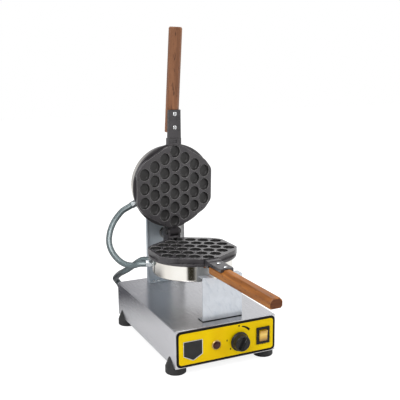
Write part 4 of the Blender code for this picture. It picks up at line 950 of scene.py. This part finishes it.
def plate_face():
    """The slab with its bubbles, drawn below the parting plane."""
    quarter = face_outline
    points = quarter + [(-x, y) for x, y in reversed(quarter)]
    points += [(-x, -y) for x, y in quarter] + [(x, -y) for x, y in reversed(quarter)]
    bm = bmesh.new()
    bm.faces.new([bm.verts.new((x, y, -face_gap)) for x, y in points])
    bmesh.ops.bevel(
        bm,
        geom=bm.verts[:],
        offset=face_corner,
        offset_type="OFFSET",
        segments=5,
        profile=0.5,
        affect="VERTICES",
        clamp_overlap=True,
        material=-1,
    )
    bmesh.ops.delete(bm, geom=bm.faces[:], context="FACES_ONLY")
    outline_verts = set(bm.verts)
    pits = []
    for column in range(-3, 4):
        count = 6 - abs(column)
        for row in range(count):
            centre = Vector((column * column_pitch, (row - (count - 1) / 2) * row_pitch, -face_gap))
            oval = Matrix.Diagonal((bubble_half_width, bubble_half_height, 1.0, 1.0))
            flat = Matrix.Translation(centre) @ oval
            ring = bmesh.ops.create_circle(bm, radius=1.02, segments=bubble_sides, matrix=flat)
            pits.append((centre, ring["verts"]))
    bmesh.ops.triangle_fill(bm, use_beauty=True, use_dissolve=False, edges=bm.edges[:])
    for centre, verts in pits:
        inside = set(verts)
        edges = [e for e in bm.edges if e.verts[0] in inside and e.verts[1] in inside and e.is_boundary]
        before, level = 1.02, 0.0
        for share, depth, finish in bubble_rings:
            pulled = bmesh.ops.extrude_edge_only(bm, edges=edges)["geom"]
            moved = [item for item in pulled if isinstance(item, bmesh.types.BMVert)]
            edges = [item for item in pulled if isinstance(item, bmesh.types.BMEdge)]
            step = share / before
            bmesh.ops.scale(bm, vec=(step, step, 1.0), space=Matrix.Translation(-centre), verts=moved)
            bmesh.ops.translate(bm, verts=moved, vec=(0.0, 0.0, (level - depth) * bubble_depth))
            for item in pulled:
                if isinstance(item, bmesh.types.BMFace):
                    item.material_index = finish
            before, level = share, depth
        for f in bmesh.ops.holes_fill(bm, edges=edges, sides=0)["faces"]:
            f.material_index = 2
    border = [e for e in bm.edges if e.is_boundary]
    pulled = bmesh.ops.extrude_edge_only(bm, edges=border)["geom"]
    moved = [item for item in pulled if isinstance(item, bmesh.types.BMVert)]
    low = [item for item in pulled if isinstance(item, bmesh.types.BMEdge)]
    bmesh.ops.translate(bm, verts=moved, vec=(0.0, 0.0, -face_depth - 0.002))
    bmesh.ops.holes_fill(bm, edges=low, sides=0)
    bmesh.ops.recalc_face_normals(bm, faces=bm.faces)
    top_edges = [e for e in bm.edges if all(v in outline_verts for v in e.verts) and len(e.link_faces) == 2]
    top_edges = [e for e in top_edges if e.calc_face_angle() > 1.0]
    bmesh.ops.bevel(
        bm,
        geom=top_edges,
        offset=face_edge,
        offset_type="OFFSET",
        segments=3,
        profile=0.5,
        affect="EDGES",
        clamp_overlap=True,
        material=1,
    )
    return bm


def flange_disc():
    bm = bmesh.new()
    bmesh.ops.create_cone(
        bm,
        cap_ends=True,
        segments=144,
        radius1=flange_radius,
        radius2=flange_radius,
        depth=flange_depth - face_depth,
        matrix=Matrix.Translation((0.0, 0.0, -(flange_depth + face_depth) / 2)),
    )
    return rounded(bm, 0.0011, 3)


bare_recess = ((-0.0052, -0.1026, -0.0030), (0.0052, -0.0966, 0.0))
for half, (body, place) in halves.items():
    node = f"{half}_plate"
    bm = combine(flange_disc(), plate_face(), "UNION")
    for f in bm.faces:
        if f.material_index == 0 and f.normal.z < 0.5:
            f.material_index = 3
    piece(in_half(bm, half), f"{half}_plate_face", body, plate_finishes[half], "cast_plate", node)
    for end, along in (("arm", -0.0905), ("hinge", 0.0905)):
        point = place @ Vector((0.0, along, 0.0))
        off = (place.to_3x3() @ Vector((0.0, -math.copysign(1.0, along), 0.0))).normalized()
        bm = softened(node, 0.0007, keep=[(point, off)])
        if (half, end) == ("upper", "arm"):
            bm = combine(bm, in_half(block(*bare_recess), half), "DIFFERENCE")
        piece(bm, f"{half}_plate_{end}", body, plate_black, "cast_plate")


# Hinge pin: a bolt through the lower plate's ears and the upper plate's tongue, with a nut at its other
# end.
bolt_black, tree, shader = new_finish("blackened bolt", "3a3a3b", 0.42, 0.6)
tree.links.new(between(tree, grain(tree, 400.0, detail=3.0), 0.34, 0.5), shader.inputs["Roughness"])
for node, name in (("hinge_pin", "hinge_bolt"), ("hinge_nut", "hinge_bolt_nut")):
    piece(softened(node, 0.0004), name, "rotor", bolt_black, "screw_steel", node)


# Cups: spun stainless shells that cover the heaters behind the plates, turned bright, with a fine grain
# round them and a faint straw tint from the heat in broad patches.
shell_radius = 0.085
shell_depth = 0.050
shell_corner = 0.004
shell_sheet = 0.001


def shell_finish(name, axis):
    """Turned stainless. The grain's lines lie across the cup's axis, which is one of the object's own."""
    material, tree, shader = new_finish(name, "cfcac0", 0.2, 1.0)
    point = add(tree, "TexCoord").outputs["Object"]
    stretch = tuple(2600.0 if k == axis else 6.0 for k in range(3))
    lines = grain(tree, 1.0, stretch, detail=3.0)
    patches = grain(tree, 12.0, detail=3.0)
    tree.links.new(ramp(tree, patches, (0.3, "d8d3c9"), (0.7, "e8e6e1")), shader.inputs["Base Color"])
    tree.links.new(between(tree, lines, 0.08, 0.16, 0.3, 0.7), shader.inputs["Roughness"])
    relief(tree, shader, lines, 0.00002, 0.14)
    return material


corner = []
for k in range(7):
    angle = math.radians(-90 * k / 6)
    corner.append(
        (
            shell_radius - shell_corner + shell_corner * math.cos(angle),
            -shell_depth + shell_corner + shell_corner * math.sin(angle),
        )
    )
inner_radius = shell_corner - shell_sheet
inner_corner = []
for k in range(7):
    angle = math.radians(-90 + 90 * k / 6)
    inner_corner.append(
        (
            shell_radius - shell_corner + inner_radius * math.cos(angle),
            -shell_depth + shell_corner + inner_radius * math.sin(angle),
        )
    )
shell_start = -flange_depth - 0.0003
profile = [(shell_radius, shell_start), *corner, (0.003, -shell_depth), (0.003, -shell_depth + shell_sheet)]
profile += [*inner_corner, (shell_radius - shell_sheet, shell_start)]
for half, axis in (("lower", 2), ("upper", 1)):
    bm = in_half(spun(profile, (0, 0, 0), (0, 0, 1), steps=144, ring=True), half)
    finish = shell_finish(f"turned {half} cup", axis)
    piece(bm, f"{half}_cup", halves[half][0], finish, "shell_steel", f"{half}_shell")

fibre, tree, shader = new_finish("mineral fibre", "cfc7b2", 0.95)
tone = ramp(tree, grain(tree, 400.0, detail=6.0), (0.3, "b9b09a"), (0.7, "dcd5c3"))
tree.links.new(tone, shader.inputs["Base Color"])
sheath, tree, shader = new_finish("oxidised heater sheath", "5b524c", 0.5, 0.9)
tone = ramp(tree, grain(tree, 90.0, detail=4.0), (0.3, "463f3a"), (0.7, "6f655d"))
tree.links.new(tone, shader.inputs["Base Color"])
for half in halves:
    dress(f"{half}_insulation", fibre)
    dress(f"{half}_heater", sheath)


# Handles: bars of oiled hardwood, rebated for the arms and screwed under them, with eased edges and a
# rounded end. The lower one is fresher and the upper one darker, with short dark flecks along its grain.
handle_round = 0.0012
wood_grains = ((7.0, 85.0, 3.0, 0.8), (45.0, 1500.0, 2.0, 0.0), (55.0, 330.0, 1.0, 0.0))


def wood(name, tones, fleck, grain_axis):
    """Wood with its grain along one axis: wavy growth bands, fine pores and a few dark flecks."""
    material, tree, shader = new_finish(name, tones[1], 0.5, Specular_IOR_Level=0.3)
    bands, pores, flecks = (
        grain(tree, 1.0, [slow if k == grain_axis else fast for k in range(3)], detail=detail, warp=warp)
        for slow, fast, detail, warp in wood_grains
    )
    tone = ramp(tree, bands, (0.28, tones[0]), (0.5, tones[1]), (0.72, tones[2]))
    tone = blend_colours(tree, between(tree, pores, 0.0, 0.45, 0.55, 0.8), tone, tones[0])
    tone = blend_colours(tree, between(tree, flecks, 0.0, 0.85, 0.66, 0.72), tone, fleck)
    tree.links.new(tone, shader.inputs["Base Color"])
    tree.links.new(between(tree, bands, 0.4, 0.56, 0.3, 0.7), shader.inputs["Roughness"])
    relief(tree, shader, pores, 0.00008, 0.35)
    return material


end_grain = wood("dark end grain", ("46200a", "633312", "77431b"), "331606", 0)
woods = {
    "lower": wood("fresh oiled wood", ("7a4719", "9a5e27", "b57a40"), "5f3614", 1),
    "upper": wood("darkened oiled wood", ("6d4630", "84583c", "986849"), "45271a", 2),
}
for half, (body, place) in halves.items():
    bm = softened(f"{half}_handle", handle_round, 3, 30.0)
    tip = (place.to_3x3() @ Vector((0.0, -1.0, 0.0))).normalized()
    for f in bm.faces:
        f.material_index = 1 if f.normal.dot(tip) > 0.8 else 0
    piece(bm, f"{half}_grip", body, [woods[half], end_grain], "wood", f"{half}_handle")


# Shaft and bush: the rotor's turned steel shaft runs in a flanged steel bush in the upright. A thin nut
# holds the bush, and a thicker one the shaft.
shaft_steel = brushed_steel("turned shaft", "8a8a8a", "a8a8a8", (12.0, 1800.0, 12.0), (0.2, 0.34))
for node, body, finish, slot, width in (
    ("rotor_shaft", "rotor", shaft_steel, "turned_steel", 0.0004),
    ("shaft_nut", "rotor", plated, "turned_steel", 0.0005),
    ("shaft_bush", "base", shaft_steel, "turned_steel", 0.0004),
    ("bush_nut", "base", plated, "screw_steel", 0.0005),
):
    piece(softened(node, width), node + "_turned", body, finish, slot, node)


# Mains inlet and wiring: a black cable gland in the rear wall, with its locknut inside the box, and the
# ivory terminal block on the floor.
bm = softened("cable_inlet", 0.0005, sharp_deg=30.0)
piece(bm, "cable_gland", "base", knob_black, "black_plastic", "cable_inlet")
dress("inlet_locknut", plated)
ivory, tree, shader = new_finish("ivory block", "d8cfb6", 0.4)
tree.links.new(ramp(tree, grain(tree, 120.0), (0.3, "cfc5ab"), (0.7, "e0d8c2")), shader.inputs["Base Color"])
piece(softened("terminal_block", 0.0006), "wiring_block", "base", ivory, "ivory_block", "terminal_block")


# Studio: a white floor that runs out of view, a pale room for the metal to mirror, and three broad soft
# lamps. The floor is dark where someone at the camera would stand, and the room is brightest behind the
# iron.
floor_half = 6.0


def compass(tree, place):
    """Direction of a point about the iron, from 0 to 1, with the front at 0.5 and the right at 0.75."""
    parts = add(tree, "SeparateXYZ", {"Vector": place}).outputs
    ahead = add(tree, "Math", {0: parts["Y"], 1: -1.0}, operation="MULTIPLY").outputs[0]
    angle = add(tree, "Math", {0: parts["X"], 1: ahead}, operation="ARCTAN2").outputs[0]
    return between(tree, angle, 0.0, 1.0, -math.pi, math.pi), parts


bm = bmesh.new()
bmesh.ops.create_grid(bm, x_segments=1, y_segments=1, size=floor_half)
floor_mesh = bpy.data.meshes.new("floor")
bm.to_mesh(floor_mesh)
bm.free()
floor = bpy.data.objects.new("floor", floor_mesh)
scene.collection.objects.link(floor)
floor_white = bpy.data.materials.new("floor white")
floor_white.use_nodes = True
tree = floor_white.node_tree
tree.nodes.clear()
place = add(tree, "TexCoord").outputs["Object"]
turn, parts = compass(tree, place)
front = ramp(
    tree, turn, (0.375, "000000"), (0.39, "ffffff"), (0.435, "ffffff"), (0.47, "a0a0a0"), (0.56, "000000")
)
rear = ramp(tree, turn, (0.0, "ffffff"), (0.14, "ffffff"), (0.2, "000000"), (0.9, "000000"), (1.0, "ffffff"))
away = add(tree, "VectorMath", {0: place}, operation="LENGTH").outputs["Value"]
far = between(tree, away, 0.0, 1.0, 0.3, 0.45)
share = add(tree, "Math", {0: front, 1: far}, operation="MULTIPLY").outputs[0]
colour = blend_colours(tree, share, "efefef", "232016")
ring = ramp(tree, away, (0.24, "000000"), (0.44, "ffffff"), (0.56, "ffffff"), (0.72, "000000"))
share = add(tree, "Math", {0: rear, 1: ring}, operation="MULTIPLY").outputs[0]
plain = add(tree, "BsdfDiffuse", {"Color": blend_colours(tree, share, colour, "515156")})
faint = add(tree, "BsdfDiffuse", {"Color": (0.35, 0.35, 0.35, 1.0)})
glow = add(tree, "Emission", {"Color": (1.0, 1.0, 1.0, 1.0), "Strength": 0.86})
seen = add(tree, "AddShader", {0: faint.outputs[0], 1: glow.outputs[0]})
is_seen = add(tree, "LightPath").outputs["Is Camera Ray"]
mixed = add(tree, "MixShader", {0: is_seen, 1: plain.outputs[0], 2: seen.outputs[0]})
add(tree, "OutputMaterial", {"Surface": mixed.outputs[0]})
floor_mesh.materials.append(floor_white)

world = bpy.data.worlds.new("room")
scene.world = world
world.use_nodes = True
tree = world.node_tree
tree.nodes.clear()
turn, parts = compass(tree, add(tree, "TexCoord").outputs["Generated"])
walls = ramp(
    tree,
    turn,
    (0.0, "8c8c90"),
    (0.06, "d0d0d2"),
    (0.25, "c2c2c2"),
    (0.37, "dcdad6"),
    (0.39, "444236"),
    (0.44, "444236"),
    (0.54, "c6c4be"),
    (0.75, "b4b4b6"),
    (0.89, "ffffff"),
    (0.931, "ffffff"),
    (0.955, "808086"),
    (1.0, "949498"),
)
share = between(tree, parts["Z"], 0.0, 1.0, 0.35, 0.8)
room = blend_colours(tree, share, walls, "dcdcdc")
behind = add(tree, "Background", {"Color": (1.0, 1.0, 1.0, 1.0), "Strength": 1.0})
around = add(tree, "Background", {"Color": room, "Strength": 1.0})
is_seen = add(tree, "LightPath").outputs["Is Camera Ray"]
mixed = add(tree, "MixShader", {0: is_seen, 1: around.outputs[0], 2: behind.outputs[0]})
add(tree, "OutputWorld", {"Surface": mixed.outputs[0]})

for name, place, size, power in (
    ("key lamp", (-1.4, -1.3, 2.0), 1.4, 34.0),
    ("fill lamp", (1.9, -1.0, 1.2), 1.6, 16.0),
    ("top lamp", (0.2, 0.7, 2.4), 1.6, 22.0),
):
    lamp = bpy.data.lights.new(name, "AREA")
    lamp.shape = "SQUARE"
    lamp.size = size
    lamp.energy = power
    holder = bpy.data.objects.new(name, lamp)
    holder.location = place
    holder.rotation_euler = (Vector((0.0, 0.0, 0.25)) - Vector(place)).to_track_quat("-Z", "Y").to_euler()
    scene.collection.objects.link(holder)

scene.view_settings.view_transform = "Standard"
